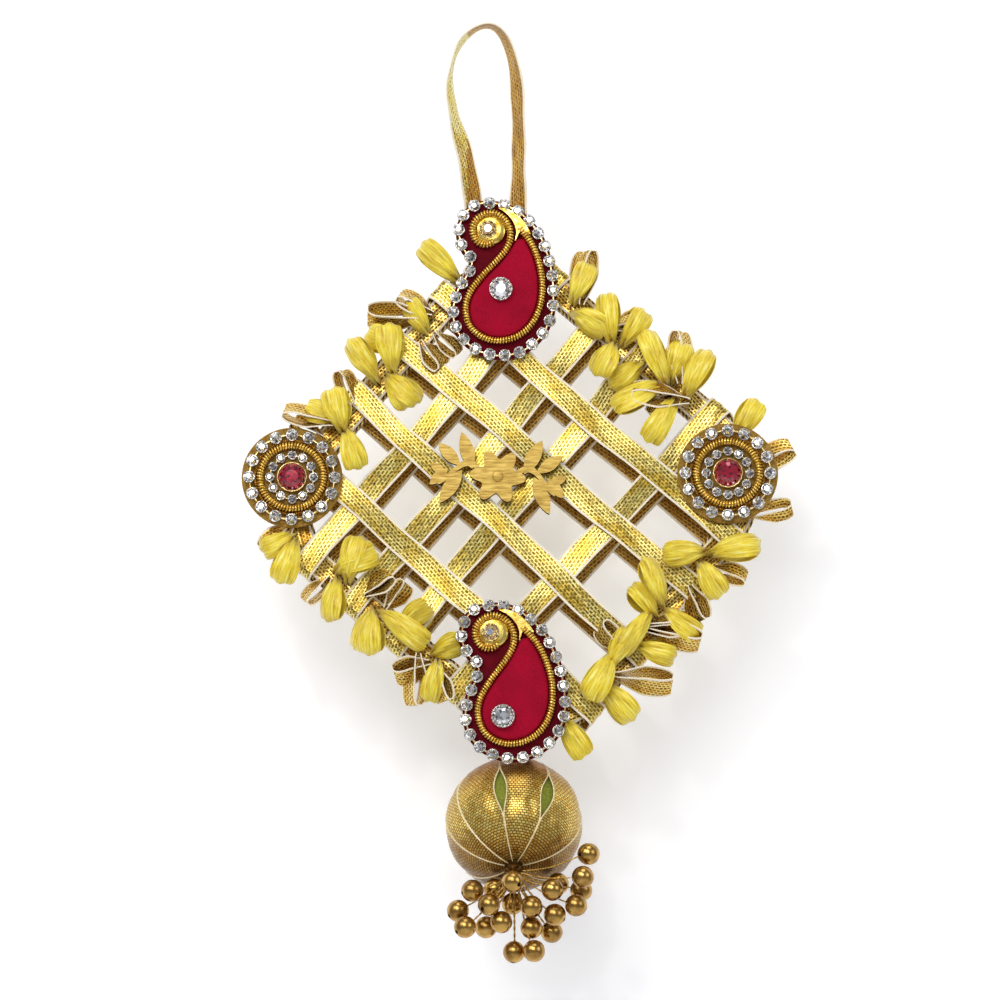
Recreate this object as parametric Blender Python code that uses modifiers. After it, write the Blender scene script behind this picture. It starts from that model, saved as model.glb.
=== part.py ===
"""Ribbon door hanging: a wound lattice on a rounded square frame, with loop trim, two paisley
patches, two round patches, a cut-out ornament, a covered ball and a tassel of beads.

Lengths are in millimetres and the scene is in metres. The hanging faces -Y and +Z is up. The
origin is the hang point, the inner top of the hanging loop. In tables, x runs right and z up.
"""
import math
import bpy
import bmesh
from mathutils import Matrix, Vector

MM = 0.001
GAP = 0.3                     # room left between pieces that touch

# Frame: a square ring with round corners, turned a little from a true diamond.
RING_X, RING_Z = 7.9, -114.5  # its middle
RING_TURN = math.radians(49.5)
RING_HALF = 47.2              # middle to the outside of a side
RING_WIDTH = 7.0
RING_THICK = 3.0
CORNER = 23.0                 # outer radius of a corner
CORNER_STEPS = 5

# Ribbon
RIBBON = 6.0                  # width of the woven ribbon
RIBBON_THICK = 0.8
UNDER_LEVEL = 3.3             # middle of a strand that runs up to the right, from the frame's middle
OVER_LEVEL = 4.4              # middle of a strand that runs down to the right, over the others
BACK_DRIFT = 1.9              # a strand comes back this far aside of its front
STRAND_BEND = 1.4             # radius of a strand's bend round the frame
STRAND_SWAY = 0.25            # how far a strand wanders aside
STRAND_STEPS = 7              # along its front

# Each strand's place aside of the ring's middle, at its two ends.
OVER_STRANDS = [
    # name, at the upper left side, at the lower right side
    ("strand_over_1", 25.0, 25.0),
    ("strand_over_2", 9.4, 9.4),
    ("strand_over_3", -6.7, -10.4),
    ("strand_over_4", -26.6, -27.8),
]
UNDER_STRANDS = [
    # name, at the lower left side, at the upper right side
    ("strand_under_1", -28.3, -28.3),
    ("strand_under_2", -13.4, -13.4),
    ("strand_under_3", 0.0, 0.0),
    ("strand_under_4", 18.0, 22.0),
]

# Loop trim: a narrow strip on each side of the frame carries ribbon loops.
STRIP_WIDTH = 6.0
STRIP_BACK = 1.8              # forward of the frame's middle
STRIP_FRONT = 2.6
STRIP_END_GAP = 1.2           # cut off each end, along the inner edge
LOOP_THICK = 0.7
SATIN, TINSEL = "satin", "tinsel"
# A satin loop lies with its face forward; a tinsel loop stands on its edge.
# "along" is the root's place on its side, clockwise from the side's middle, and "out" its distance
# from the ring's middle. "heading" is where the loop points, in degrees from +X. "low" and "high"
# are how far its back and front stand forward of the strip.
LOOPS = {
    "upper_left": [
        # ribbon, along, out, heading, length, low, high
        (SATIN, 29.9, 45.9, 136, 11.0, 0.4, 4.4),
        (SATIN, 15.6, 43.4, 122, 7.5, 0.4, 4.2),
        (SATIN, -1.0, 45.0, 124, 9.5, 3.2, 7.4),
        (SATIN, 3.4, 43.2, 96, 9.5, 3.2, 6.6),
        (SATIN, 1.8, 41.6, 314, 8.0, 0.4, 4.2),
        (SATIN, -15.4, 42.8, 104, 9.0, 3.2, 6.8),
        (SATIN, -15.4, 41.4, 286, 9.0, 3.2, 6.6),
        (SATIN, -13.4, 45.2, 168, 8.0, 0.4, 2.6),
        (TINSEL, 17.6, 45.4, 178, 14.0, 0.2, 4.6),
        (TINSEL, 19.4, 44.4, 150, 9.5, 0.4, 5.0),
        (TINSEL, -16.2, 45.2, 165, 12.5, 0.4, 4.8),
        (TINSEL, -20.2, 45.0, 150, 8.5, 0.2, 2.3),
        (TINSEL, 16.4, 41.4, 318, 8.0, 0.2, 2.1),
    ],
    "upper_right": [
        (SATIN, -21.0, 44.0, 66, 8.5, 3.2, 6.6),
        (SATIN, -18.6, 41.6, 330, 8.5, 3.2, 6.6),
        (SATIN, -8.0, 42.4, 96, 10.0, 3.2, 7.0),
        (SATIN, -5.4, 44.0, 56, 8.5, 0.4, 4.4),
        (SATIN, 8.6, 43.0, 112, 12.0, 3.2, 7.4),
        (SATIN, 14.2, 44.2, 62, 10.5, 3.2, 7.0),
        (SATIN, -6.8, 41.4, 246, 7.5, 3.2, 6.6),
        (SATIN, 8.0, 41.4, 206, 11.5, 3.2, 6.6),
        (SATIN, 13.0, 41.2, 238, 11.5, 3.2, 7.0),
        (SATIN, 29.4, 44.6, 56, 9.0, 0.2, 2.2),
        (TINSEL, -18.8, 44.2, 84, 13.5, 0.2, 5.0),
        (TINSEL, 11.4, 45.0, 90, 13.0, 0.2, 4.6),
        (TINSEL, 16.0, 42.6, 168, 14.0, 4.2, 8.2),
        (TINSEL, 36.6, 39.4, 26, 13.0, 0.2, 2.3),
    ],
    "lower_right": [
        (SATIN, -17.6, 41.4, 186, 8.5, 3.2, 6.6),
        (SATIN, -19.4, 43.8, 8, 10.0, 3.2, 7.2),
        (SATIN, -15.2, 43.4, 300, 8.5, 3.2, 6.8),
        (SATIN, 2.0, 41.4, 236, 11.0, 3.2, 7.0),
        (SATIN, -2.6, 41.6, 112, 9.5, 3.2, 6.8),
        (SATIN, -1.6, 44.4, 322, 9.0, 0.4, 4.4),
        (SATIN, 15.8, 41.2, 244, 10.5, 3.2, 7.0),
        (SATIN, 16.6, 42.4, 62, 8.0, 3.2, 6.6),
        (SATIN, 34.2, 42.6, 300, 9.5, 0.2, 2.1),
        (SATIN, 22.0, 45.0, 312, 9.5, 0.4, 4.4),
        (TINSEL, -32.6, 45.2, 12, 9.5, 0.2, 2.3),
        (TINSEL, -16.2, 45.6, 342, 9.0, 0.2, 3.0),
        (TINSEL, 5.4, 43.2, 10, 11.5, 0.2, 4.6),
        (TINSEL, 4.4, 43.2, 344, 13.5, 0.2, 5.0),
        (TINSEL, 18.2, 45.0, 352, 14.0, 0.2, 5.0),
    ],
    "lower_left": [
        (SATIN, 35.2, 42.8, 206, 7.5, 0.4, 4.4),
        (SATIN, 33.6, 43.8, 252, 9.5, 3.2, 7.0),
        (SATIN, 21.6, 41.8, 24, 9.5, 3.2, 6.8),
        (SATIN, 18.4, 41.6, 76, 9.0, 3.2, 6.6),
        (SATIN, 20.0, 44.2, 262, 9.0, 2.2, 5.6),
        (SATIN, 6.4, 42.8, 324, 12.0, 3.2, 7.0),
        (SATIN, 8.2, 44.8, 266, 8.5, 2.2, 5.6),
        (SATIN, -8.8, 41.8, 24, 6.5, 0.2, 2.1),
        (SATIN, -11.0, 43.4, 258, 9.0, 3.2, 6.4),
        (TINSEL, 21.6, 44.4, 224, 8.5, 0.2, 4.6),
        (TINSEL, 36.8, 40.2, 222, 10.0, 0.2, 2.3),
        (TINSEL, -6.2, 44.8, 266, 12.5, 0.2, 4.8),
        (TINSEL, -11.6, 44.4, 286, 8.5, 2.0, 6.0),
        (TINSEL, 7.0, 41.4, 50, 8.0, 0.2, 2.2),
    ],
}
SIDE_TURNS = {"upper_left": 0, "upper_right": 1, "lower_right": 2, "lower_left": 3}

# Patches: levels are forward of the frame's middle.
PATCH_BACK = 5.1
FELT_THICK = 1.2
PAD_THICK = 1.2
COIL_RADIUS = 0.9
STONE = 2.9                   # width of a stone of the outer chains
STONE_HEIGHT = 2.0

# Paisley, from the middle of its belly.
COIL_LINE = [
    # x, z: from the tip round the belly, back to the tip and round the hooked head
    (3.8, 18.2), (6.6, 14.2), (8.3, 9.6), (9.1, 4.1), (8.2, -1.7), (5.5, -6.2), (1.2, -8.7),
    (-3.8, -8.7), (-7.9, -5.9), (-9.2, -1.6), (-8.2, 2.6), (-5.0, 6.9), (-1.5, 10.6),
    (0.9, 13.8), (1.6, 17.0), (0.4, 20.0), (-2.0, 21.7), (-4.7, 21.6), (-6.9, 20.0),
    (-7.6, 17.5), (-6.6, 15.0), (-4.4, 14.1), (-2.4, 14.9),
]
BELLY_POINTS = 14             # the first points of the line bound the red pad
CHAIN_LINE = [
    # x, z: the closed line through the stones
    (-3.6, 24.3), (0.6, 23.6), (4.6, 21.2), (8.4, 16.6), (10.8, 10.0), (11.7, 3.4), (11.2, -2.8),
    (8.8, -7.8), (4.4, -11.4), (-1.2, -12.6), (-6.4, -11.2), (-10.6, -7.6), (-12.2, -2.4),
    (-11.0, 3.2), (-8.6, 7.2), (-7.7, 10.6), (-9.7, 13.2), (-10.8, 17.2), (-9.6, 21.4), (-6.8, 23.8),
]
PAISLEYS = {
    # name: x and z of the belly's middle, turn in degrees, centre stone x and z
    "top": (3.9, -68.6, 0.0, 3.1, -65.3),
    "bottom": (6.7, -164.8, 7.0, 3.6, -167.5),
}
HEAD_STONE = (-3.9, 17.9)
HEAD_STONE_RADIUS = 2.2
CENTRE_STONE_RADIUS = 3.1
CHAIN_STONES = 28
PAD_TIP_CUT = 6.2             # the pad stops this far short of the tip, where it would be a sliver
STONE_SETTING = 2.0           # height of a centre stone
HEAD_SETTING = 2.6            # height of a head stone

# Round patches
ROUNDS = {
    # name: x and z of the middle
    "left": (-46.6, -110.4),
    "right": (57.1, -109.4),
}
ROUND_RADIUS = 12.0
ROUND_OUTER = (10.1, 16, STONE, STONE_HEIGHT)     # radius, stones, stone width, height
ROUND_INNER = (5.3, 12, 1.9, 1.4)
ROUND_COIL = 7.55
GEM_RADIUS = 3.6
GEM_HEIGHT = 2.8

# Ornament: a flower with leaf scrolls in the place of the centre motif
ORNAMENT_X, ORNAMENT_Z = 2.4, -109.9
ORNAMENT_TURN = math.radians(-6)
ORNAMENT_BACK, ORNAMENT_FRONT = 5.1, 7.5
FLOWER_RADIUS, PETAL = 5.4, 1.3   # middle radius, and how far a petal stands out or in
LEAVES = [
    # root x and z, heading, length, width, on the right; the left side mirrors them
    (6.2, 0.8, 68, 9.2, 3.4), (9.2, 1.4, 40, 7.4, 3.0), (8.6, 0.4, -62, 9.6, 3.4),
    (12.0, 0.4, -48, 5.8, 2.6), (12.6, -0.6, 24, 4.0, 2.2),
]

# Hanging loop
HANG_STATIONS = [
    # x, z, forward, turn of the ribbon's face from the front in degrees
    (-1.4, -62.6, 4.4, 0), (-1.8, -56.6, 4.4, 2), (-2.6, -50.0, 2.8, 20), (-3.4, -44.0, 1.4, 40),
    (-5.4, -32.0, 0.8, 46), (-8.2, -21.5, 0.4, 62), (-9.2, -13.5, 0.2, 78), (-7.6, -5.6, 0.1, 84),
    (-4.2, -1.2, 0.0, 86), (-0.2, 0.5, 0.0, 86), (3.0, -1.2, 0.0, 80), (5.4, -6.0, 0.1, 70),
    (6.8, -13.0, 0.2, 60), (7.3, -22.0, 0.4, 58), (7.4, -32.0, 0.8, 56), (7.2, -44.0, 1.4, 46),
    (6.9, -50.0, 2.8, 22), (6.7, -56.6, 4.4, 2), (6.5, -62.6, 4.4, 0),
]
HANG_STEPS = 30

# Ball and tassel
BALL = Vector((6.2, 4.4, -192.2))
BALL_RADIUS = 16.0
BALL_LENGTH = 15.2            # half of its length along its own axis
BALL_TILT = math.radians(-46)
KNOT_RADIUS = 1.7
BEAD_RADIUS = 2.65
THREAD_RADIUS = 0.3
BEADS = [
    # x, z, y of each bead
    (23.8, -200.0, -7.0), (22.4, -205.6, -10.6), (22.1, -208.4, -4.4), (16.6, -206.8, -2.4),
    (20.8, -212.2, -9.2), (15.2, -208.6, -10.6), (10.3, -212.6, -11.4), (15.8, -214.4, -9.0),
    (15.1, -218.2, -3.6), (10.3, -217.4, -7.4), (10.9, -222.9, -8.8), (6.2, -223.0, -5.6),
    (3.2, -216.2, -10.6), (0.3, -212.2, -12.6), (5.9, -206.9, -14.4), (-3.6, -208.8, -10.0),
    (-7.0, -213.4, -7.6), (-5.3, -217.4, -11.8), (-0.4, -217.2, -6.0), (5.9, -211.6, -4.6),
    (1.6, -208.2, -4.8),
]
TIE_STATIONS = [
    # x, z, forward: down from behind the frame's lowest corner to the ball
    (11.4, -168.0, -2.4), (10.6, -171.5, -2.6), (9.2, -174.4, -3.4), (7.6, -175.4, -4.8),
]
TIE_WIDTH = 4.0
TIE_THICK = 0.8


def clear_scene():
    """Remove what the scene holds."""
    for item in list(bpy.data.objects):
        bpy.data.objects.remove(item, do_unlink=True)


def new_collection(name, parent=None):
    """Add a collection."""
    collection = bpy.data.collections.new(name)
    (parent or bpy.context.scene.collection).children.link(collection)
    return collection


clear_scene()
PARTS = new_collection("ribbon_door_hanging")
CUTTERS = new_collection("joined_pieces")


def material(name, colour, roughness, metallic=0.0):
    """One finish, made the first time that it is asked for."""
    made = bpy.data.materials.get(name)
    if made is None:
        made = bpy.data.materials.new(name)
        made.use_nodes = True
        shader = made.node_tree.nodes["Principled BSDF"]
        shader.inputs["Base Color"].default_value = (*colour, 1.0)
        shader.inputs["Roughness"].default_value = roughness
        shader.inputs["Metallic"].default_value = metallic
    return made


BOARD = material("frame_board", (0.42, 0.28, 0.16), 0.8)
GOLD_RIBBON = material("gold_ribbon", (0.72, 0.60, 0.25), 0.35, 0.8)
SATIN_RIBBON = material("yellow_satin", (0.83, 0.66, 0.10), 0.45)
RED_FELT = material("red_felt", (0.38, 0.01, 0.03), 0.9)
COIL_GOLD = material("coil_gold", (0.60, 0.42, 0.12), 0.35, 1.0)
CLEAR_STONE = material("clear_stone", (0.82, 0.82, 0.84), 0.1, 0.6)
RED_GEM = material("red_gem", (0.45, 0.0, 0.03), 0.05)
ORNAMENT_GOLD = material("ornament_gold", (0.62, 0.45, 0.13), 0.45, 0.5)
BALL_TISSUE = material("ball_tissue", (0.40, 0.27, 0.09), 0.4, 0.8)
BEAD_GOLD = material("bead_gold", (0.42, 0.24, 0.07), 0.25, 1.0)


def link(name, data, finish, collection=PARTS):
    """Put mesh or curve data in the scene as an object."""
    piece = bpy.data.objects.new(name, data)
    data.materials.append(finish)
    collection.objects.link(piece)
    if collection is not PARTS:
        piece.hide_render = True
        piece.display_type = "WIRE"
    return piece


def as_mesh(piece):
    """The same piece with its curve or modifiers turned into a welded mesh."""
    bpy.context.view_layer.update()
    graph = bpy.context.evaluated_depsgraph_get()
    mesh = bpy.data.meshes.new_from_object(piece.evaluated_get(graph))
    weld = bmesh.new()
    weld.from_mesh(mesh)
    bmesh.ops.remove_doubles(weld, verts=weld.verts, dist=0.00001)
    if piece.type == "CURVE":
        bmesh.ops.recalc_face_normals(weld, faces=weld.faces)
    weld.to_mesh(mesh)
    weld.free()
    name = piece.name
    place = piece.matrix_world.copy()
    collection = piece.users_collection[0]
    finish = piece.data.materials[0]
    mesh.materials.clear()
    bpy.data.objects.remove(piece, do_unlink=True)
    made = link(name, mesh, finish, collection)
    made.matrix_world = place
    return made


def smooth_line(points, steps, closed):
    """Points spaced evenly along a smooth curve through the given ones."""
    knots = [Vector(point) for point in points]
    count = len(knots)
    fine = []
    spans = count if closed else count - 1
    for span in range(spans):
        around = []
        for offset in (-1, 0, 1, 2):
            index = span + offset
            index = index % count if closed else min(max(index, 0), count - 1)
            around.append(knots[index])
        before, start, end, after = around
        for step in range(8):
            t = step / 8
            fine.append(0.5 * ((2 * start) + (end - before) * t
                               + (2 * before - 5 * start + 4 * end - after) * t * t
                               + (3 * start - before - 3 * end + after) * t ** 3))
    fine.append(knots[0] if closed else knots[-1])
    lengths = [0.0]
    for first, second in zip(fine, fine[1:]):
        lengths.append(lengths[-1] + (second - first).length)
    total = lengths[-1]
    result = []
    place = 0
    for step in range(steps):
        wanted = total * step / (steps if closed else steps - 1)
        while place < len(fine) - 2 and lengths[place + 1] < wanted:
            place += 1
        part = (wanted - lengths[place]) / max(lengths[place + 1] - lengths[place], 1e-9)
        result.append(fine[place].lerp(fine[place + 1], min(part, 1.0)))
    return result


def plate(name, outline, back, front, finish, edge=0.0, collection=PARTS):
    """A flat piece of the given outline; back and front are levels forward of the frame."""
    curve = bpy.data.curves.new(name, "CURVE")
    curve.dimensions = "2D"
    curve.fill_mode = "BOTH"
    curve.extrude = (abs(front - back) / 2 - edge) * MM
    curve.bevel_depth = edge * MM
    curve.bevel_resolution = 0
    spline = curve.splines.new("POLY")
    spline.points.add(len(outline) - 1)
    for point, place in zip(spline.points, outline):
        point.co = (place[0] * MM, place[1] * MM, 0, 1)
    spline.use_cyclic_u = True
    piece = link(name, curve, finish, collection)
    piece.rotation_euler = (math.radians(90), 0, 0)
    piece.location = (0, -(back + front) / 2 * MM, 0)
    return piece


def band(name, edges, thick, finish, closed=False, collection=PARTS):
    """A ribbon: a grid one face wide, laid between pairs of edge points and given a thickness."""
    spans = len(edges) if closed else len(edges) - 1
    build = bmesh.new()
    bmesh.ops.create_grid(build, x_segments=spans, y_segments=1, size=1)
    for vertex in build.verts:
        station = round((vertex.co.x + 1) / 2 * spans) % len(edges)
        vertex.co = Vector(edges[station][0 if vertex.co.y < 0 else 1]) * MM
    bmesh.ops.remove_doubles(build, verts=build.verts, dist=0.000001)
    mesh = bpy.data.meshes.new(name)
    build.to_mesh(mesh)
    build.free()
    piece = link(name, mesh, finish, collection)
    solid = piece.modifiers.new("thickness", "SOLIDIFY")
    solid.thickness = thick * MM
    solid.offset = 0
    return piece


def without_cavities(piece):
    """Fill the sealed pockets that joined pieces leave between them, by removing their skins."""
    build = bmesh.new()
    build.from_mesh(piece.data)
    left = set(build.faces)
    while left:
        skin = {left.pop()}
        front = list(skin)
        while front:
            face = front.pop()
            for edge in face.edges:
                for other in edge.link_faces:
                    if other in left:
                        left.discard(other)
                        skin.add(other)
                        front.append(other)
        volume = 0.0
        for face in skin:
            corners = [vertex.co for vertex in face.verts]
            for second, third in zip(corners[1:], corners[2:]):
                volume += corners[0].dot(second.cross(third)) / 6
        if volume < 0:
            bmesh.ops.delete(build, geom=list(skin), context="FACES")
            left = {face for face in left if face.is_valid}
    build.to_mesh(piece.data)
    build.free()
    return piece


def fuse(name, pieces, finish):
    """Join overlapping pieces into one solid: the first carries the others."""
    joined = new_collection(name + "_pieces", CUTTERS)
    first = as_mesh(pieces[0])
    for piece in pieces[1:]:
        solid = as_mesh(piece)
        for collection in list(solid.users_collection):
            collection.objects.unlink(solid)
        joined.objects.link(solid)
    for collection in list(first.users_collection):
        collection.objects.unlink(first)
    PARTS.objects.link(first)
    first.name = name
    first.hide_render = False
    first.display_type = "TEXTURED"
    first.data.materials.clear()
    first.data.materials.append(finish)
    union = first.modifiers.new("joined", "BOOLEAN")
    union.operation = "UNION"
    union.solver = "EXACT"
    union.operand_type = "COLLECTION"
    union.collection = joined
    return without_cavities(as_mesh(first))


def side_axes(side):
    """Directions out of and along a side of the frame, clockwise, in x and z."""
    angle = math.radians(90) + RING_TURN - math.radians(90) * SIDE_TURNS[side]
    out = Vector((math.cos(angle), math.sin(angle)))
    along = Vector((math.sin(angle), -math.cos(angle)))
    return out, along


def on_side(side, along_side, out_of_middle):
    """The x and z of a place on a side of the frame."""
    out, along = side_axes(side)
    return Vector((RING_X, RING_Z)) + out * out_of_middle + along * along_side


def side_outline(side, inner_cut, outer_cut, end_gap):
    """Outline of one side with half of each round corner; cuts narrow it at its two edges."""
    straight = RING_HALF - CORNER
    inner = CORNER - RING_WIDTH + inner_cut
    outer = CORNER - outer_cut
    spread = math.radians(45) - end_gap / inner
    points = []
    for radius, order in ((outer, 1), (inner, -1)):
        row = []
        for end in (-1, 1):
            for step in range(CORNER_STEPS + 1):
                part = step / CORNER_STEPS
                angle = -spread * (1 - part) if end < 0 else spread * part
                row.append(on_side(side, end * straight + radius * math.sin(angle),
                                   straight + radius * math.cos(angle)))
        points += row[::order]
    return points


def build_frame():
    """The four sides of the ring, parted at its corners."""
    for side in SIDE_TURNS:
        outline = side_outline(side, 0.0, 0.0, GAP / 2)
        plate("frame_" + side, outline, -RING_THICK / 2, RING_THICK / 2, BOARD)


def strand(name, along, aside, first_offset, last_offset, level, drift):
    """One ribbon wound round the ring, from one side to the opposite one and back behind."""
    reach = RING_HALF + GAP + RIBBON_THICK / 2
    corner = STRAND_BEND
    path = []
    for step in range(STRAND_STEPS + 1):
        part = step / STRAND_STEPS
        path.append((-(reach - corner) + 2 * (reach - corner) * part, level, 0.0))
    for angle in (30, 60, 90):
        turn = math.radians(angle)
        path.append((reach - corner + corner * math.sin(turn),
                     level - corner + corner * math.cos(turn), 0.12 * angle / 90))
    for angle in (0, 30, 60, 90):
        turn = math.radians(angle)
        path.append((reach - corner + corner * math.cos(turn),
                     -(level - corner) - corner * math.sin(turn), 0.88 + 0.12 * angle / 90))
    path.append((0.0, -level, 1.0))
    far = [(-run, height, share) for run, height, share in path[STRAND_STEPS + 1:-1]]
    path += far[::-1]
    edges = []
    for index, (run, height, share) in enumerate(path):
        part = (run + reach) / (2 * reach)
        sway = STRAND_SWAY * math.sin(2.3 * index + 1.7 * first_offset)
        middle = first_offset + (last_offset - first_offset) * part + drift * share + sway * (1 - share)
        pair = []
        for edge in (-0.5, 0.5):
            flat = along * run + aside * (middle + edge * RIBBON)
            pair.append((RING_X + flat.x, -height, RING_Z + flat.y))
        edges.append(pair)
    return band(name, edges, RIBBON_THICK, GOLD_RIBBON, closed=True)


def build_lattice():
    """Eight wound ribbons: four run up to the right, and four lie over them."""
    down_right = -side_axes("upper_left")[0]
    up_right = side_axes("upper_right")[0]
    for name, first, last in OVER_STRANDS:
        strand(name, down_right, up_right, first, last, OVER_LEVEL, -BACK_DRIFT)
    for name, first, last in UNDER_STRANDS:
        strand(name, up_right, down_right, first, last, UNDER_LEVEL, BACK_DRIFT)


def satin_loop(name, root, heading, length, low, high, collection):
    """A folded loop of satin with its face forward, pinched at its root."""
    ahead = Vector((math.cos(heading), 0, math.sin(heading)))
    across = Vector((-ahead.z, 0, ahead.x))
    middle = (low + high) / 2
    fold = [
        # along as a share of the length, forward of the strip, width
        (0.07, -0.1, 2.6), (0.17, max(low, 0.4), 3.6), (0.76, low + 0.1, 6.2), (1.0, middle, 5.2),
        (0.78, high, 6.2), (0.18, high - 0.4, 4.4), (-0.08, -0.1, 2.4),
    ]
    edges = []
    for share, forward, width in fold:
        centre = root + ahead * (share * length) + Vector((0, -forward, 0))
        edges.append((centre - across * width / 2, centre + across * width / 2))
    return band(name, edges, LOOP_THICK, SATIN_RIBBON, collection=collection)


def tinsel_loop(name, root, heading, length, low, high, collection):
    """A tinsel loop that stands on its edge, as an open drop seen from the front."""
    ahead = Vector((math.cos(heading), 0, math.sin(heading)))
    aside = Vector((-ahead.z, 0, ahead.x))
    belly = min(0.22 * length + 1.2, 3.8)
    drop = [
        # along and aside as shares of the length and of the belly, share of "low" reached
        (-0.02, -0.22, 0.0), (0.22, -0.36, 1.0), (0.70, -0.5, 1.0), (0.98, -0.2, 1.0),
        (0.98, 0.2, 1.0), (0.70, 0.5, 1.0), (0.22, 0.36, 1.0), (-0.02, 0.22, 0.0),
    ]
    edges = []
    for share, side, risen in drop:
        centre = root + ahead * (share * length) + aside * (side * belly)
        near = low * risen - 0.25 * (1 - risen)
        edges.append((centre + Vector((0, -near, 0)), centre + Vector((0, -high, 0))))
    return band(name, edges, LOOP_THICK, GOLD_RIBBON, collection=collection)


def build_trim():
    """A strip with its ribbon loops on each side of the frame."""
    makers = {SATIN: satin_loop, TINSEL: tinsel_loop}
    spare = (RING_WIDTH - STRIP_WIDTH) / 2
    for side, rows in LOOPS.items():
        outline = side_outline(side, spare, spare, STRIP_END_GAP)
        pieces = [plate("strip_" + side, outline, STRIP_BACK, STRIP_FRONT, SATIN_RIBBON,
                        collection=CUTTERS)]
        for index, (ribbon, along, out, heading, length, low, high) in enumerate(rows):
            place = on_side(side, along, out)
            root = Vector((place.x, -STRIP_FRONT, place.y))
            name = "loop_%s_%02d" % (side, index)
            pieces.append(makers[ribbon](name, root, math.radians(heading), length, low, high, CUTTERS))
        fuse("trim_" + side, pieces, SATIN_RIBBON)


def stone_chain(name, line, stones, width, height, back):
    """A closed chain: a narrow band that widens and rises at each stone."""
    stations = smooth_line(line, stones * 3, True)
    count = len(stations)
    build = bmesh.new()
    rings = []
    for index, point in enumerate(stations):
        ahead = stations[(index + 1) % count] - stations[index - 1]
        aside = Vector((ahead.y, -ahead.x)).normalized()
        full = 1.0 if index % 3 else 0.42
        ring = []
        for side, level in ((-1, 0.0), (-0.62, 1.0), (0.62, 1.0), (1, 0.0)):
            flat = point + aside * (side * full * width / 2)
            forward = back + (height if full == 1.0 else 0.45 * height) * level
            ring.append(build.verts.new((flat.x * MM, -forward * MM, flat.y * MM)))
        rings.append(ring)
    for index, ring in enumerate(rings):
        following = rings[(index + 1) % count]
        for corner in range(4):
            build.faces.new((ring[corner], ring[(corner + 1) % 4],
                             following[(corner + 1) % 4], following[corner]))
    bmesh.ops.recalc_face_normals(build, faces=build.faces)
    mesh = bpy.data.meshes.new(name)
    build.to_mesh(mesh)
    build.free()
    return link(name, mesh, CLEAR_STONE)


def tube(name, points, radius, finish, closed=False, radii=None, sides=1, collection=PARTS):
    """A round wire through x, y, z points; radii can change along it."""
    curve = bpy.data.curves.new(name, "CURVE")
    curve.dimensions = "3D"
    curve.bevel_depth = radius * MM
    curve.bevel_resolution = sides
    curve.use_fill_caps = not closed
    spline = curve.splines.new("POLY")
    spline.points.add(len(points) - 1)
    for index, (point, place) in enumerate(zip(spline.points, points)):
        point.co = (place[0] * MM, place[1] * MM, place[2] * MM, 1)
        if radii:
            point.radius = radii[index] / radius
    spline.use_cyclic_u = closed
    return link(name, curve, finish, collection)


def cut_stone(name, x, z, back, radius, height, finish):
    """A round stone in its setting: a short drum under a bevelled crown."""
    build = bmesh.new()
    bmesh.ops.create_cone(build, cap_ends=True, segments=10, radius1=radius * MM,
                          radius2=radius * MM, depth=height * MM)
    mesh = bpy.data.meshes.new(name)
    build.to_mesh(mesh)
    build.free()
    stone = link(name, mesh, finish)
    stone.rotation_euler = (math.radians(90), 0, 0)
    stone.location = (x * MM, -(back + height / 2) * MM, z * MM)
    crown = stone.modifiers.new("crown", "BEVEL")
    crown.width = 0.35 * height * MM
    crown.segments = 1
    return stone


def turned(points, turn, x, z):
    """Points turned about their origin and moved to x and z."""
    spin = Matrix.Rotation(math.radians(turn), 2)
    return [spin @ Vector(point) + Vector((x, z)) for point in points]


def grown(outline, amount):
    """A closed outline moved outwards along its normals, or inwards where amount is negative."""
    count = len(outline)
    area = sum(outline[i].x * outline[(i + 1) % count].y - outline[(i + 1) % count].x * outline[i].y
               for i in range(count))
    sense = 1 if area > 0 else -1
    result = []
    for index, point in enumerate(outline):
        ahead = outline[(index + 1) % count] - outline[index - 1]
        normal = Vector((ahead.y, -ahead.x)).normalized() * sense
        result.append(point + normal * amount)
    return result


def build_paisley(place, x, z, turn, stone_x, stone_z):
    """One paisley patch: felt base, coil, red pad, chain of stones and two larger stones."""
    name = place + "_paisley_"
    seat = PATCH_BACK + FELT_THICK + GAP
    chain_line = turned(CHAIN_LINE, turn, x, z)
    plate(name + "base", grown(smooth_line(chain_line, 44, True), STONE / 2 + 0.15),
          PATCH_BACK, PATCH_BACK + FELT_THICK, RED_FELT)
    stone_chain(name + "chain", chain_line, CHAIN_STONES, STONE, STONE_HEIGHT, seat)
    line = smooth_line(turned(COIL_LINE, turn, x, z), 46, False)
    middle = -(seat + COIL_RADIUS)
    tube(name + "coil", [(point.x, middle, point.y) for point in line], COIL_RADIUS, COIL_GOLD)
    belly = smooth_line(turned(COIL_LINE[:BELLY_POINTS], turn, x, z), 24, True)
    pad = grown(belly, -(COIL_RADIUS + GAP + 0.15))
    tip = turned(COIL_LINE[:1], turn, x, z)[0]
    pad = [point for point in pad if (point - tip).length > PAD_TIP_CUT]
    plate(name + "pad", pad, seat, seat + PAD_THICK, RED_FELT, edge=0.3)
    cut_stone(name + "centre_stone", stone_x, stone_z, seat + PAD_THICK + GAP,
              CENTRE_STONE_RADIUS, STONE_SETTING, CLEAR_STONE)
    head = turned([HEAD_STONE], turn, x, z)[0]
    cut_stone(name + "head_stone", head.x, head.y, seat, HEAD_STONE_RADIUS, HEAD_SETTING, CLEAR_STONE)


def circle(x, z, radius, steps):
    """Points round a circle."""
    points = []
    for step in range(steps):
        angle = 2 * math.pi * step / steps
        points.append(Vector((x + radius * math.cos(angle), z + radius * math.sin(angle))))
    return points


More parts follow.
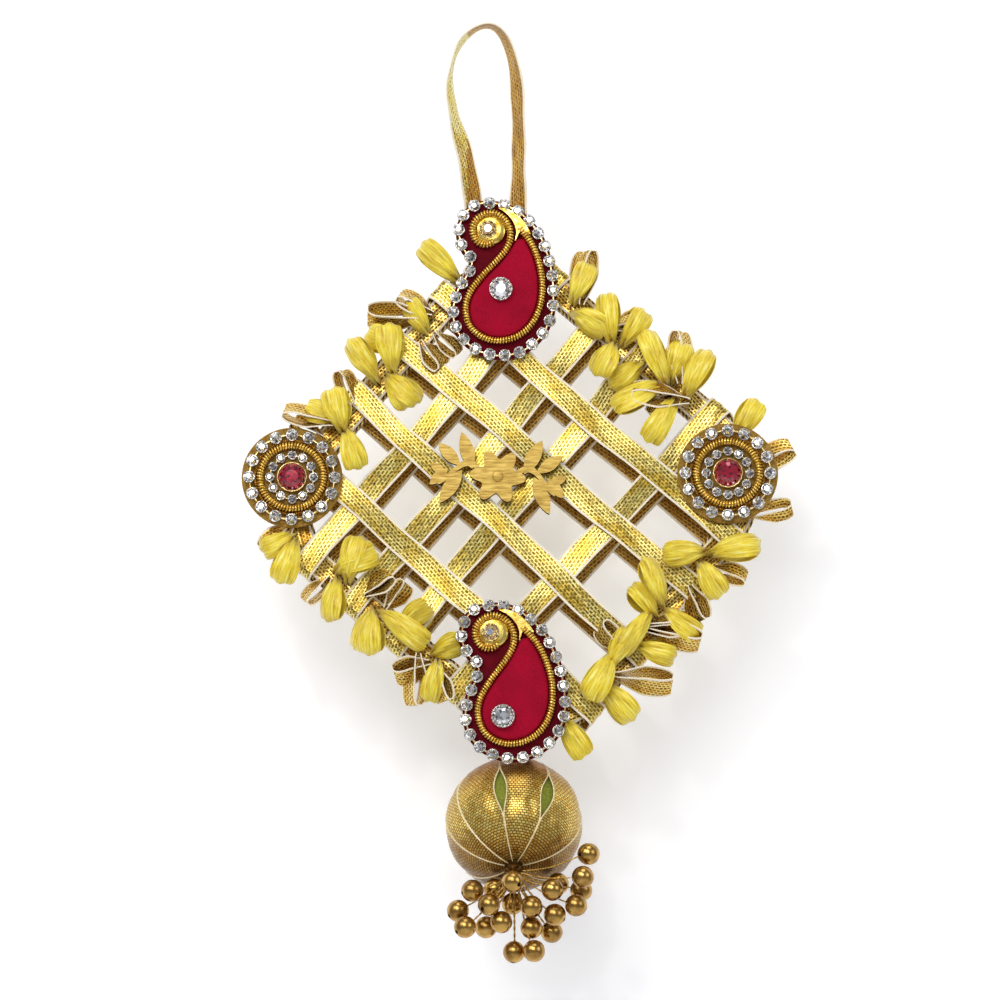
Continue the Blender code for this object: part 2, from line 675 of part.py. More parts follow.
def build_round(place, x, z):
    """One round patch: base, outer stones, coil, inner stones and a red gem."""
    name = place + "_round_"
    seat = PATCH_BACK + FELT_THICK + GAP
    plate(name + "base", circle(x, z, ROUND_RADIUS, 32), PATCH_BACK, PATCH_BACK + FELT_THICK,
          GOLD_RIBBON)
    for chain, (radius, stones, width, height) in (("outer", ROUND_OUTER), ("inner", ROUND_INNER)):
        stone_chain(name + chain + "_stones", circle(x, z, radius, 16), stones, width, height, seat)
    middle = -(seat + COIL_RADIUS)
    tube(name + "coil", [(point.x, middle, point.y) for point in circle(x, z, ROUND_COIL, 24)],
         COIL_RADIUS, COIL_GOLD, closed=True)
    cut_stone(name + "gem", x, z, seat, GEM_RADIUS, GEM_HEIGHT, RED_GEM)


def leaf(root_x, root_z, heading, length, width):
    """Outline of a pointed leaf from its root."""
    ahead = Vector((math.cos(math.radians(heading)), math.sin(math.radians(heading))))
    aside = Vector((-ahead.y, ahead.x))
    points = []
    for side in (1, -1):
        for step in range(4):
            part = step / 4 if side > 0 else 1 - step / 4
            swell = side * width / 2 * math.sin(math.pi * part) ** 0.8
            points.append(Vector((root_x, root_z)) + ahead * (length * part) + aside * swell)
    return points


def build_ornament():
    """A flat gold flower with a leafy scroll on each side, cut from thin board."""
    spin = math.degrees(ORNAMENT_TURN)
    flower = []
    for step in range(24):
        angle = 2 * math.pi * step / 24
        radius = FLOWER_RADIUS + PETAL * math.cos(6 * angle)
        flower.append((radius * math.cos(angle), radius * math.sin(angle) - 0.3))
    outlines = [flower]
    for hand in (1, -1):
        stem = []
        for edge in (0.8, -0.8):
            row = []
            for step in range(7):
                run = 3.0 + 11.0 * step / 6
                row.append((hand * run, 2.6 * math.sin(run * 0.42 - 1.4) + edge - 0.4))
            stem += row[::1 if edge > 0 else -1]
        outlines.append(stem)
        for row in LEAVES:
            outlines.append([(hand * point.x, point.y) for point in leaf(*row)])
    pieces = []
    for index, outline in enumerate(outlines):
        trim = 0.02 * index
        placed = turned(outline, spin, ORNAMENT_X, ORNAMENT_Z)
        pieces.append(plate("ornament_%02d" % index, placed, ORNAMENT_BACK + trim,
                            ORNAMENT_FRONT - trim, ORNAMENT_GOLD, collection=CUTTERS))
    fuse("centre_ornament", pieces, ORNAMENT_GOLD)


def build_hang_loop():
    """The hanging ribbon: up from behind the top patch, over its apex and down again."""
    stations = [(x, -forward, z) for x, z, forward, turn in HANG_STATIONS]
    places = smooth_line(stations, HANG_STEPS, False)
    edges = []
    for index, place in enumerate(places):
        ahead = places[min(index + 1, HANG_STEPS - 1)] - places[max(index - 1, 0)]
        ahead.normalize()
        near = min(range(len(stations)), key=lambda mark: (Vector(stations[mark]) - place).length)
        turn = math.radians(HANG_STATIONS[near][3])
        aside = ahead.cross(Vector((0, -1, 0))).normalized()
        depth = ahead.cross(aside).normalized()
        across = aside * math.cos(turn) + depth * math.sin(turn)
        edges.append((place - across * RIBBON / 2, place + across * RIBBON / 2))
    band("hang_loop", edges, RIBBON_THICK, GOLD_RIBBON)


def build_ball():
    """The covered ball, and the ribbon that ties it behind the lowest corner."""
    build = bmesh.new()
    bmesh.ops.create_uvsphere(build, u_segments=18, v_segments=10, radius=1.0)
    mesh = bpy.data.meshes.new("ball")
    build.to_mesh(mesh)
    build.free()
    mesh.transform(Matrix.Rotation(BALL_TILT, 4, "X")
                   @ Matrix.Diagonal((BALL_RADIUS * MM, BALL_RADIUS * MM, BALL_LENGTH * MM, 1)))
    ball = link("ball", mesh, BALL_TISSUE)
    ball.location = BALL * MM
    across = Vector((1, 0, 0.15)).normalized() * TIE_WIDTH / 2
    edges = []
    for x, z, forward in TIE_STATIONS:
        place = Vector((x, -forward, z))
        edges.append((place - across, place + across))
    band("ball_tie", edges, TIE_THICK, GOLD_RIBBON)


def knot_place():
    """Where the threads gather: the lower front end of the ball's axis."""
    end = Matrix.Rotation(BALL_TILT, 3, "X") @ Vector((0, 0, -1))
    return BALL + end * (BALL_LENGTH + GAP + KNOT_RADIUS)


def build_tassel():
    """A knot with a bead on the end of each of its threads."""
    knot = knot_place()
    build = bmesh.new()
    bmesh.ops.create_uvsphere(build, u_segments=8, v_segments=6, radius=KNOT_RADIUS * MM)
    mesh = bpy.data.meshes.new("knot")
    build.to_mesh(mesh)
    build.free()
    core = link("knot", mesh, BEAD_GOLD, CUTTERS)
    core.location = knot * MM
    pieces = [core]
    for index, (x, z, y) in enumerate(BEADS):
        bead = Vector((x, y, z))
        ahead = (bead - knot).normalized()
        points = [knot + ahead * 0.4, bead - ahead * (BEAD_RADIUS + 0.4)]
        radii = [THREAD_RADIUS, THREAD_RADIUS]
        for angle in (168, 128, 88, 48, 10):
            turn = math.radians(angle)
            points.append(bead + ahead * (BEAD_RADIUS * math.cos(turn)))
            radii.append(BEAD_RADIUS * math.sin(turn))
        pieces.append(tube("bead_%02d" % index, points, 1.0, BEAD_GOLD, radii=radii, sides=1,
                           collection=CUTTERS))
    fuse("bead_tassel", pieces, BEAD_GOLD)


build_frame()
build_lattice()
build_trim()
for paisley, row in PAISLEYS.items():
    build_paisley(paisley, *row)
for patch, row in ROUNDS.items():
    build_round(patch, *row)
build_ornament()
build_hang_loop()
build_ball()
build_tassel()
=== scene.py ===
# %% [markdown]
# # A ribbon door hanging
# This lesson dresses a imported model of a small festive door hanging: gold ribbon wound as a
# lattice on a wooden square, loops of satin and tinsel ribbon, four stitched and jewelled patches,
# a covered ball and a bunch of beads. The model gives every size and place, and the scene adds
# what cloth, wire and stones look like from near.

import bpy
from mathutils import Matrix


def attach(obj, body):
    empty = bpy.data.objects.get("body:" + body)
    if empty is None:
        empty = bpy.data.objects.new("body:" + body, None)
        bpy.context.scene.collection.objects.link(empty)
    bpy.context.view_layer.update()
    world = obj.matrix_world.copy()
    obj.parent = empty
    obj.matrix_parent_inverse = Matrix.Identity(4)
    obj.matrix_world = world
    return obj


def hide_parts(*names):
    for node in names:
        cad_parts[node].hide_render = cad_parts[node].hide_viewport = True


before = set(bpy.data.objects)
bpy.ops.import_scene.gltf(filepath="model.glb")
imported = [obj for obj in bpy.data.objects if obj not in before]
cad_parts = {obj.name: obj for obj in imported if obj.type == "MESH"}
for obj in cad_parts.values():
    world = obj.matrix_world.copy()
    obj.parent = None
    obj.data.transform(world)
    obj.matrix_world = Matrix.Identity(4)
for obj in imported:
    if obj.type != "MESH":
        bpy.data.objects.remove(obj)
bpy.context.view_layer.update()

# %% Modules and the unit
import math
import random

import bpy
from mathutils import Matrix, Vector

MM = 0.001
chance = random.Random(7)

# %% [markdown]
# ## Working by hand, in code
# An operator acts on all that is selected, so every step starts from nothing selected. These
# helpers hold the moves that come back again and again: take a piece, apply what it carries,
# copy it, join several, and give it its finish.

# %% Select, apply, copy and join
def set_down():
    """Leave edit mode and select nothing."""
    if bpy.context.mode != "OBJECT":
        bpy.ops.object.mode_set(mode="OBJECT")
    bpy.ops.object.select_all(action="DESELECT")


def take(*pieces):
    """Select these pieces and make the last one active."""
    set_down()
    for piece in pieces:
        piece.select_set(True)
    bpy.context.view_layer.objects.active = pieces[-1]


def apply_all(piece):
    """Apply the modifiers, and put the object's place into its mesh."""
    take(piece)
    for modifier in list(piece.modifiers):
        bpy.ops.object.modifier_apply(modifier=modifier.name)
    bpy.ops.object.transform_apply(location=True, rotation=True, scale=True)
    return piece


def copy_to(model, matrix):
    """A copy with its own mesh, moved by the matrix."""
    twin = model.copy()
    twin.data = model.data.copy()
    twin.data.transform(matrix)
    bpy.context.collection.objects.link(twin)
    return twin


def join(name, pieces):
    """Join several pieces in one."""
    if len(pieces) > 1:
        take(*pieces)
        bpy.ops.object.join()
    piece = pieces[-1]
    piece.name = name
    return piece


def discard(*pieces):
    """Remove models that have been copied."""
    for piece in pieces:
        bpy.data.objects.remove(piece, do_unlink=True)


def paint(piece, *finishes):
    """Fill the piece's material slots."""
    piece.data.materials.clear()
    for finish in finishes:
        piece.data.materials.append(finish)


def smooth(piece, angle=None):
    """Shade smooth, wholly or up to an angle in degrees."""
    take(piece)
    if angle is None:
        bpy.ops.object.shade_smooth()
    else:
        bpy.ops.object.shade_smooth_by_angle(angle=math.radians(angle))


def place_piece(piece, slot, *nodes):
    """The finished piece rides on the hanging and stands for these nodes of the model."""
    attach(piece, "root")
    if nodes:
        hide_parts(*nodes)
    print(piece.name, len(piece.data.vertices), "points")


def at(x, z, forward=0.0):
    """A place in metres from millimetres right, up and forward."""
    return Vector((x * MM, -forward * MM, z * MM))


def smooth_line(points, steps, closed=False):
    """Evenly spaced places on a smooth curve through the points; any number of dimensions."""
    count = len(points)
    spans = count if closed else count - 1
    dense = []
    for span in range(spans):
        corners = []
        for step in range(-1, 3):
            index = span + step
            corners.append(points[index % count if closed else min(max(index, 0), count - 1)])
        for step in range(16):
            t = step / 16
            weights = (-t + 2 * t * t - t ** 3, 2 - 5 * t * t + 3 * t ** 3,
                       t + 4 * t * t - 3 * t ** 3, -t * t + t ** 3)
            dense.append([sum(w * c[axis] for w, c in zip(weights, corners)) / 2
                          for axis in range(len(corners[0]))])
    dense.append(list(points[0] if closed else points[-1]))
    walked = [0.0]
    for before, after in zip(dense, dense[1:]):
        walked.append(walked[-1] + math.dist(before[:3], after[:3]))
    result, index = [], 0
    total = steps if closed else steps - 1
    for step in range(steps):
        goal = walked[-1] * step / total
        while index < len(walked) - 2 and walked[index + 1] < goal:
            index += 1
        part = (goal - walked[index]) / max(walked[index + 1] - walked[index], 1e-9)
        result.append([a + (b - a) * part for a, b in zip(dense[index], dense[index + 1])])
    return result

# %% [markdown]
# ## Camera, floor and light
# The hanging is shown from the front and a little from below, in front of a pale wall. A long
# lens keeps its lines straight. Metal and cut stones only look like themselves when they have
# something to mirror, so large soft lamps stand at the left, the right and above, with a small
# harder one for sparkle. A picture of a room could light it too, but lamps can be placed by hand
# and need no file.

# %% Camera
VIEW_MIDDLE = Vector((0.0029, 0.0, -0.1150))
VIEW_WIDTH = 0.239
VIEW_UP = math.radians(-7.0)

bpy.ops.object.camera_add()
camera = bpy.context.object
camera.data.lens = 200
distance = VIEW_WIDTH * camera.data.lens / camera.data.sensor_width
toward = Vector((0, -math.cos(VIEW_UP), math.sin(VIEW_UP)))
camera.location = VIEW_MIDDLE + toward * distance
camera.rotation_euler = (-toward).to_track_quat("-Z", "Y").to_euler()
camera.data.clip_start = 0.01
bpy.context.scene.camera = camera
print("camera", round(distance, 3), "m away")

# %% Floor and wall
WALL_BACK = 0.034


def plain_finish(name, colour, roughness):
    """A dull finish for the floor and the wall."""
    made = bpy.data.materials.new(name)
    made.use_nodes = True
    tree = made.node_tree
    shader = tree.nodes["Principled BSDF"]
    shader.inputs["Roughness"].default_value = roughness
    shader.inputs["Base Color"].default_value = (*colour, 1)
    return made


bpy.ops.mesh.primitive_plane_add(size=8, location=(0, 0, -0.6))
floor = bpy.context.object
floor.name = "stage_floor"
set_down()
bpy.ops.mesh.primitive_plane_add(size=1.6, location=(0, WALL_BACK, -0.1), rotation=(math.radians(90), 0, 0))
wall = bpy.context.object
wall.name = "stage_wall"
for ground in (floor, wall):
    paint(ground, plain_finish("stage_paper", (0.86, 0.86, 0.87), 0.9))
wall_tree = wall.data.materials[0].node_tree
glow = wall_tree.nodes["Principled BSDF"]
glow.inputs["Emission Color"].default_value = (1, 1, 1, 1)
glow.inputs["Emission Strength"].default_value = 0.3

# from behind, the wall is clear, so that the hanging's back can be seen
seen_from = wall_tree.nodes.new("ShaderNodeNewGeometry")
clear = wall_tree.nodes.new("ShaderNodeBsdfTransparent")
one_sided = wall_tree.nodes.new("ShaderNodeMixShader")
wall_tree.links.new(seen_from.outputs["Backfacing"], one_sided.inputs["Fac"])
wall_tree.links.new(glow.outputs["BSDF"], one_sided.inputs[1])
wall_tree.links.new(clear.outputs["BSDF"], one_sided.inputs[2])
wall_tree.links.new(one_sided.outputs["Shader"], wall_tree.nodes["Material Output"].inputs["Surface"])

# %% Lights
LAMPS = [
    # name, place, size, watts, tint
    ("lamp_left", (-0.55, -0.75, 0.35), 0.55, 2.6, (1.0, 0.99, 0.97)),
    ("lamp_front", (-0.12, -0.95, 0.22), 0.42, 3.0, (1.0, 1.0, 1.0)),
    ("lamp_right", (0.7, -0.6, 0.1), 0.45, 1.3, (1.0, 1.0, 1.0)),
    ("lamp_above", (0.05, -0.35, 0.75), 0.5, 1.7, (1.0, 1.0, 1.0)),
    ("lamp_sparkle", (-0.25, -0.95, 0.45), 0.05, 0.9, (1.0, 0.98, 0.94)),
    ("lamp_behind", (0.2, 0.9, 0.4), 0.6, 2.0, (1.0, 1.0, 1.0)),
]
for name, place, size, watts, tint in LAMPS:
    set_down()
    bpy.ops.object.light_add(type="AREA", location=place)
    lamp = bpy.context.object
    lamp.name = name
    lamp.data.size = size
    lamp.data.energy = watts
    lamp.data.color = tint
    lamp.rotation_euler = (Vector((0, 0, -0.115)) - Vector(place)).to_track_quat("-Z", "Y").to_euler()

world = bpy.data.worlds.new("soft_room")
world.use_nodes = True
world.node_tree.nodes["Background"].inputs["Color"].default_value = (0.9, 0.92, 1.0, 1)
world.node_tree.nodes["Background"].inputs["Strength"].default_value = 0.3
bpy.context.scene.world = world
bpy.context.scene.view_settings.view_transform = "Standard"
print(len(LAMPS), "lamps")

# %% [markdown]
# ## Finishes
# The real piece is made of shop-bought trims: flat gold ribbon woven from foil and thread, satin
# ribbon, red felt, coiled wire, stones in claws. Each finish below is a small node tree. The woven
# ones read a UV map that is measured in millimetres, across and along the ribbon, so that the
# pattern follows every bend; the others read Object coordinates. A painted picture could do as
# much from afar, but it blurs from near, and nodes stay sharp.

# %% Helpers for node trees
def tone(red, green, blue):
    """A colour given from 0 to 255, as linear light."""
    made = []
    for value in (red, green, blue):
        share = value / 255
        made.append(share / 12.92 if share <= 0.04045 else ((share + 0.055) / 1.055) ** 2.4)
    return (*made, 1.0)


def new_finish(name, **sockets):
    """A material, with constants on its shader's own sockets."""
    made = bpy.data.materials.new(name)
    made.use_nodes = True
    shader = made.node_tree.nodes["Principled BSDF"]
    for socket, value in sockets.items():
        shader.inputs[socket.replace("_", " ")].default_value = value
    return made, made.node_tree, shader


def node(tree, kind, *wires, **settings):
    """One node; wires are pairs of a socket and the value or output that goes in."""
    made = tree.nodes.new("ShaderNode" + kind)
    for key, value in settings.items():
        setattr(made, key, value)
    for socket, source in wires:
        if isinstance(source, bpy.types.NodeSocket):
            tree.links.new(source, made.inputs[socket])
        else:
            made.inputs[socket].default_value = source
    return made


def ramp(tree, source, *stops):
    """Colours by place between 0 and 1."""
    made = node(tree, "ValToRGB", ("Fac", source))
    places = made.color_ramp.elements
    places[0].position, places[0].color = stops[0]
    places[-1].position, places[-1].color = stops[-1]
    for place, colour in stops[1:-1]:
        places.new(place).color = colour
    return made.outputs["Color"]


def level(tree, source, low, high, out_low, out_high):
    """Spread a value from one range to another."""
    return node(tree, "MapRange", ("Value", source), ("From Min", low), ("From Max", high),
                ("To Min", out_low), ("To Max", out_high)).outputs["Result"]


def blend(tree, share, first, second, way="MIX"):
    """Mix two colours."""
    made = node(tree, "Mix", data_type="RGBA", blend_type=way)
    for socket, source in ((0, share), (6, first), (7, second)):
        if isinstance(source, bpy.types.NodeSocket):
            tree.links.new(source, made.inputs[socket])
        else:
            made.inputs[socket].default_value = source
    return made.outputs[2]


def relief(tree, shader, height, depth, strength=0.8):
    """A bump of that depth in millimetres."""
    bump = node(tree, "Bump", ("Height", height), ("Strength", strength), ("Distance", depth * MM))
    tree.links.new(bump.outputs["Normal"], shader.inputs["Normal"])


def ribbon_map(tree, scale=(1, 1, 1), turn=0.0):
    """The ribbon's own millimetres, stretched and turned."""
    place = node(tree, "UVMap", uv_map="ribbon")
    return node(tree, "Mapping", ("Vector", place.outputs["UV"]), ("Scale", scale),
                ("Rotation", (0, 0, math.radians(turn)))).outputs["Vector"]


def object_map(tree, scale=(1, 1, 1)):
    """Object coordinates in millimetres times a scale."""
    place = node(tree, "TexCoord")
    return node(tree, "Mapping", ("Vector", place.outputs["Object"]),
                ("Scale", tuple(1000 * value for value in scale))).outputs["Vector"]


# %% [markdown]
# ## Woven gold ribbon
# Gold foil shows as pale steps between short sunk threads. Rows of dashes, each row shifted by
# half a dash, are just what a brick pattern gives: the bricks are the sunk threads and the mortar
# is the foil. A slow noise changes how much foil stands up, so that no two stretches look alike.

# %% Woven gold finishes
def woven_gold(name, foil, foil_low, thread, thread_low, dash, row, mortar, roughness, metal):
    """Foil ribbon: rows of sunk dashes between foil, and patches of painted glints."""
    made, tree, shader = new_finish(name, Metallic=metal, Roughness=roughness)
    weave = node(tree, "TexBrick", ("Vector", ribbon_map(tree, turn=84)), ("Scale", 1.0),
                 ("Mortar Size", mortar), ("Mortar Smooth", 0.35), ("Brick Width", dash),
                 ("Row Height", row), ("Bias", 0.1), offset=0.5)
    weave.inputs["Color1"].default_value = thread
    weave.inputs["Color2"].default_value = thread_low
    slow = node(tree, "TexNoise", ("Vector", ribbon_map(tree, (0.3, 0.12, 1))), ("Scale", 1.0),
                ("Detail", 3.0)).outputs["Fac"]
    tree.links.new(ramp(tree, slow, (0.38, foil_low), (0.56, foil)), weave.inputs["Mortar"])
    # grain: a noise that dims and lightens the foil in patches as painted glints; it also varies the
    # roughness
    grain = node(tree, "TexNoise", ("Vector", ribbon_map(tree, (2.2, 0.9, 1))), ("Scale", 1.0),
                 ("Detail", 2.0)).outputs["Fac"]
    bright = ramp(tree, grain, (0.35, (0.72, 0.72, 0.72, 1)), (0.62, (1, 1, 1, 1)))
    colour = blend(tree, 1.0, weave.outputs["Color"], bright, "MULTIPLY")
    tree.links.new(colour, shader.inputs["Base Color"])
    tree.links.new(level(tree, grain, 0.3, 0.7, roughness - 0.12, roughness + 0.12),
                   shader.inputs["Roughness"])
    relief(tree, shader, weave.outputs["Fac"], 0.09)
    return made


FOIL, FOIL_LOW = tone(252, 236, 146), tone(230, 196, 84)
WOVEN_FRONT = woven_gold("woven_gold", FOIL, FOIL_LOW, tone(118, 88, 14), tone(182, 148, 46),
                         1.15, 0.74, 0.2, 0.27, 0.78)
# the ribbon's back face: duller, and browner and darker as painted shade where it lies behind the frame
WOVEN_BACK_AND_SHADE = woven_gold("woven_gold_back_painted_shade", tone(224, 180, 84), tone(188, 140, 54),
                        tone(112, 74, 20), tone(154, 110, 40), 1.15, 0.74, 0.18, 0.36, 0.65)
TINSEL = woven_gold("tinsel_gold", tone(255, 224, 122), tone(212, 160, 58), tone(92, 58, 10),
                    tone(158, 108, 28), 1.0, 0.72, 0.2, 0.26, 0.8)

# %% Cream edge thread
CREAM, tree, shader = new_finish("cream_edge", Roughness=0.55, Sheen_Weight=0.3)
twist = node(tree, "TexWave", ("Vector", ribbon_map(tree, (0.6, 1.6, 1), 20)), ("Scale", 1.0),
             ("Distortion", 0.6)).outputs["Fac"]
tree.links.new(ramp(tree, twist, (0.0, tone(232, 212, 176)), (0.6, tone(255, 248, 228))),
               shader.inputs["Base Color"])
relief(tree, shader, twist, 0.05)

# %% Yellow satin
SATIN, tree, shader = new_finish("yellow_satin", Roughness=0.3, Sheen_Weight=0.35,
                                 Sheen_Roughness=0.4, Anisotropic=0.3)
fibres = node(tree, "TexNoise", ("Vector", ribbon_map(tree, (2.6, 0.22, 1), 8)), ("Scale", 1.0),
              ("Detail", 4.0), ("Roughness", 0.6), ("Distortion", 0.5)).outputs["Fac"]
# slow patches that darken the satin towards olive: painted shade in its folds
painted_fold_shade = node(tree, "TexNoise", ("Vector", object_map(tree, (0.22, 0.22, 0.22))), ("Scale", 1.0),
             ("Detail", 2.0)).outputs["Fac"]
# fibre streaks from olive to near white: fibre tone with painted sheen and shade along the satin
fibre_streaks_and_painted_sheen = ramp(tree, fibres, (0.28, tone(178, 142, 8)), (0.44, tone(236, 206, 36)),
               (0.58, tone(250, 234, 84)), (0.74, tone(255, 252, 176)))
tree.links.new(blend(tree, 1.0, fibre_streaks_and_painted_sheen, ramp(tree, painted_fold_shade, (0.3, (0.86, 0.8, 0.64, 1)),
                                              (0.6, (1, 1, 1, 1))), "MULTIPLY"),
               shader.inputs["Base Color"])
relief(tree, shader, fibres, 0.3, 1.0)

# %% Red felt and velvet
def fibre_cloth(name, low, high, size, sheen, depth):
    """A matted cloth: fine noise for the fibres over a slow change of shade."""
    made, tree, shader = new_finish(name, Roughness=0.95, Sheen_Weight=sheen,
                                    Sheen_Tint=high, Specular_IOR_Level=0.2)
    fine = node(tree, "TexNoise", ("Vector", object_map(tree)), ("Scale", size), ("Detail", 6.0),
                ("Roughness", 0.7)).outputs["Fac"]
    slow = node(tree, "TexNoise", ("Vector", object_map(tree)), ("Scale", 0.16),
                ("Detail", 1.0)).outputs["Fac"]
    body = ramp(tree, fine, (0.32, low), (0.68, high))
    tree.links.new(blend(tree, 1.0, body, ramp(tree, slow, (0.3, (0.8, 0.8, 0.8, 1)),
                                               (0.65, (1, 1, 1, 1))), "MULTIPLY"),
                   shader.inputs["Base Color"])
    relief(tree, shader, fine, depth)
    return made


FELT = fibre_cloth("red_felt", tone(72, 0, 12), tone(132, 6, 30), 3.2, 0.15, 0.12)
VELVET = fibre_cloth("red_velvet", tone(128, 0, 26), tone(188, 4, 50), 4.5, 0.2, 0.07)

# %% [markdown]
# ## Metal, stones and board
# Wire, claws and beads are metals with a little dirt in their colour. The clear stones are backed
# with foil on the real piece, so they mirror more than they let through: a bright metal under a
# clear coat, on flat facets, does that without slow glass. The red gem is the same in deep red.

# %% Metals
def worn_metal(name, low, high, roughness, size, coat=0.0):
    """A metal whose colour and gloss wander a little."""
    made, tree, shader = new_finish(name, Metallic=1.0, Roughness=roughness, Coat_Weight=coat,
                                    Coat_Roughness=0.08)
    patches = node(tree, "TexNoise", ("Vector", object_map(tree)), ("Scale", size),
                   ("Detail", 4.0)).outputs["Fac"]
    tree.links.new(ramp(tree, patches, (0.34, low), (0.64, high)), shader.inputs["Base Color"])
    tree.links.new(level(tree, patches, 0.3, 0.7, roughness + 0.1, roughness - 0.05),
                   shader.inputs["Roughness"])
    relief(tree, shader, patches, 0.02, 0.4)
    return made


WIRE = worn_metal("coil_gold", tone(186, 138, 40), tone(255, 216, 112), 0.24, 1.4)
CLAW = worn_metal("claw_gold", tone(176, 140, 70), tone(244, 222, 160), 0.22, 1.1)
SILVER = worn_metal("claw_silver", tone(150, 146, 140), tone(238, 236, 230), 0.2, 1.1)
BEAD = worn_metal("bead_gold", tone(140, 102, 42), tone(196, 156, 78), 0.24, 0.35, 0.4)
THREAD = worn_metal("tassel_thread", tone(126, 86, 26), tone(226, 184, 96), 0.35, 2.4)
GOLD_CLOTH = worn_metal("crinkled_gold", tone(196, 150, 40), tone(255, 232, 128), 0.25, 0.9)

# %% Stones
def foiled_stone(name, low, high, metal):
    """A cut stone over foil: patches of lighter and darker tone are painted on as sparkle."""
    made, tree, shader = new_finish(name, Metallic=metal, Roughness=0.05, Coat_Weight=1.0,
                                    Coat_Roughness=0.02, Coat_IOR=1.6)
    # random patches from dark to light: painted sparkle, standing in for reflections in the facets
    painted_sparkle_cells = node(tree, "TexVoronoi", ("Vector", object_map(tree)), ("Scale", 1.6)).outputs["Color"]
    sparkle_level = node(tree, "SeparateColor", ("Color", painted_sparkle_cells)).outputs["Red"]
    tree.links.new(ramp(tree, sparkle_level, (0.05, low), (0.55, high)), shader.inputs["Base Color"])
    return made


CLEAR = foiled_stone("clear_stone", tone(120, 122, 130), tone(252, 253, 255), 0.85)
GEM = foiled_stone("red_gem", tone(60, 0, 12), tone(168, 2, 44), 0.35)

# %% Cut board with a gold face
ORNAMENT_FACE, tree, shader = new_finish("ornament_gold", Metallic=0.35, Roughness=0.42)
grain = node(tree, "TexNoise", ("Vector", object_map(tree, (0.35, 1, 2.6))), ("Scale", 1.0),
             ("Detail", 5.0)).outputs["Fac"]
tree.links.new(ramp(tree, grain, (0.3, tone(158, 122, 42)), (0.5, tone(196, 160, 68)),
                    (0.7, tone(224, 192, 100))), shader.inputs["Base Color"])
relief(tree, shader, grain, 0.03)
ORNAMENT_EDGE = fibre_cloth("burnt_edge", tone(34, 20, 10), tone(74, 46, 22), 1.6, 0.0, 0.05)

# %% [markdown]
# ## Ball tissue and the frame's wrap
# The ball's cover is a fine metallic mesh: bright dots on a dark ground. Its colour is changed by
# height: painted shade low down towards the gather and a little at the top, and a brighter band
# across the middle, a painted reflection. The frame is a board wrapped in the same tinsel; its
# model has no UV map, so its finish reads Object coordinates.

# %% Tissue, lining, bead hole and frame
TISSUE, tree, shader = new_finish("ball_tissue", Metallic=0.85, Roughness=0.3)
mesh_dots = node(tree, "TexBrick", ("Vector", ribbon_map(tree)), ("Scale", 1.0), ("Mortar Size", 0.11),
                 ("Mortar Smooth", 0.5), ("Brick Width", 0.86), ("Row Height", 0.62), offset=0.5)
mesh_dots.inputs["Color1"].default_value = tone(255, 236, 150)
mesh_dots.inputs["Color2"].default_value = tone(226, 182, 84)
mesh_dots.inputs["Mortar"].default_value = tone(104, 70, 20)
height = node(tree, "SeparateXYZ", ("Vector", object_map(tree))).outputs["Z"]
# painted light by height: painted shade low down and at the top, a painted reflection band across the middle
shade = ramp(tree, level(tree, height, -210.0, -176.0, 0.0, 1.0), (0.12, (0.26, 0.18, 0.1, 1)),
             (0.36, (0.5, 0.38, 0.22, 1)), (0.5, (1, 0.97, 0.8, 1)), (0.72, (1, 0.94, 0.7, 1)),
             (0.92, (0.6, 0.36, 0.22, 1)))
tree.links.new(blend(tree, 1.0, mesh_dots.outputs["Color"], shade, "MULTIPLY"),
               shader.inputs["Base Color"])
dirt = node(tree, "TexNoise", ("Vector", object_map(tree, (0.5, 0.5, 0.5))), ("Scale", 1.0)).outputs["Fac"]
tree.links.new(level(tree, dirt, 0.3, 0.7, 0.2, 0.42), shader.inputs["Roughness"])
relief(tree, shader, level(tree, mesh_dots.outputs["Fac"], 0, 1, 1, 0), 0.08)
PALE_EDGE, tree, shader = new_finish("pale_edge", Roughness=0.35)
thread = node(tree, "TexNoise", ("Vector", ribbon_map(tree, (1, 2, 1))), ("Scale", 1.0)).outputs["Fac"]
tree.links.new(ramp(tree, thread, (0.3, tone(214, 184, 116)), (0.7, tone(255, 246, 208))),
               shader.inputs["Base Color"])
LINING = fibre_cloth("olive_lining", tone(104, 112, 34), tone(150, 156, 62), 1.8, 0.4, 0.05)
# near black for the mouths of the beads' holes: painted shade in the hole
HOLE_PAINTED_SHADE = fibre_cloth("bead_hole_painted_shade", tone(14, 8, 4), tone(34, 20, 10), 1.6, 0.0, 0.02)
# the gathered tissue is painted near black-brown: painted shade among the bunched pleats
GATHER_PAINTED_SHADE = worn_metal("gathered_tissue_painted_shade", tone(40, 24, 10), tone(110, 74, 30), 0.4, 1.2)
# a brighter copy of the woven gold: painted highlight for the hanging ribbon's left limb
WOVEN_PAINTED_HIGHLIGHT = woven_gold("woven_gold_painted_highlight", tone(255, 248, 176), tone(244, 222, 110),
                          tone(128, 100, 18), tone(190, 160, 60), 1.1, 0.74, 0.21, 0.3, 0.75)
BOARD, tree, shader = new_finish("frame_wrap", Metallic=0.5, Roughness=0.45)
winding = node(tree, "TexWave", ("Vector", object_map(tree)), ("Scale", 0.35), ("Distortion", 3.0),
               ("Detail", 3.0), ("Detail Scale", 2.0)).outputs["Fac"]
tree.links.new(ramp(tree, winding, (0.1, tone(78, 50, 18)), (0.5, tone(160, 118, 52)),
                    (0.9, tone(226, 196, 120))), shader.inputs["Base Color"])
relief(tree, shader, winding, 0.15)
for side in ("upper_left", "upper_right", "lower_right", "lower_left"):
    paint(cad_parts["frame_" + side], BOARD)
print(len(bpy.data.materials), "materials")

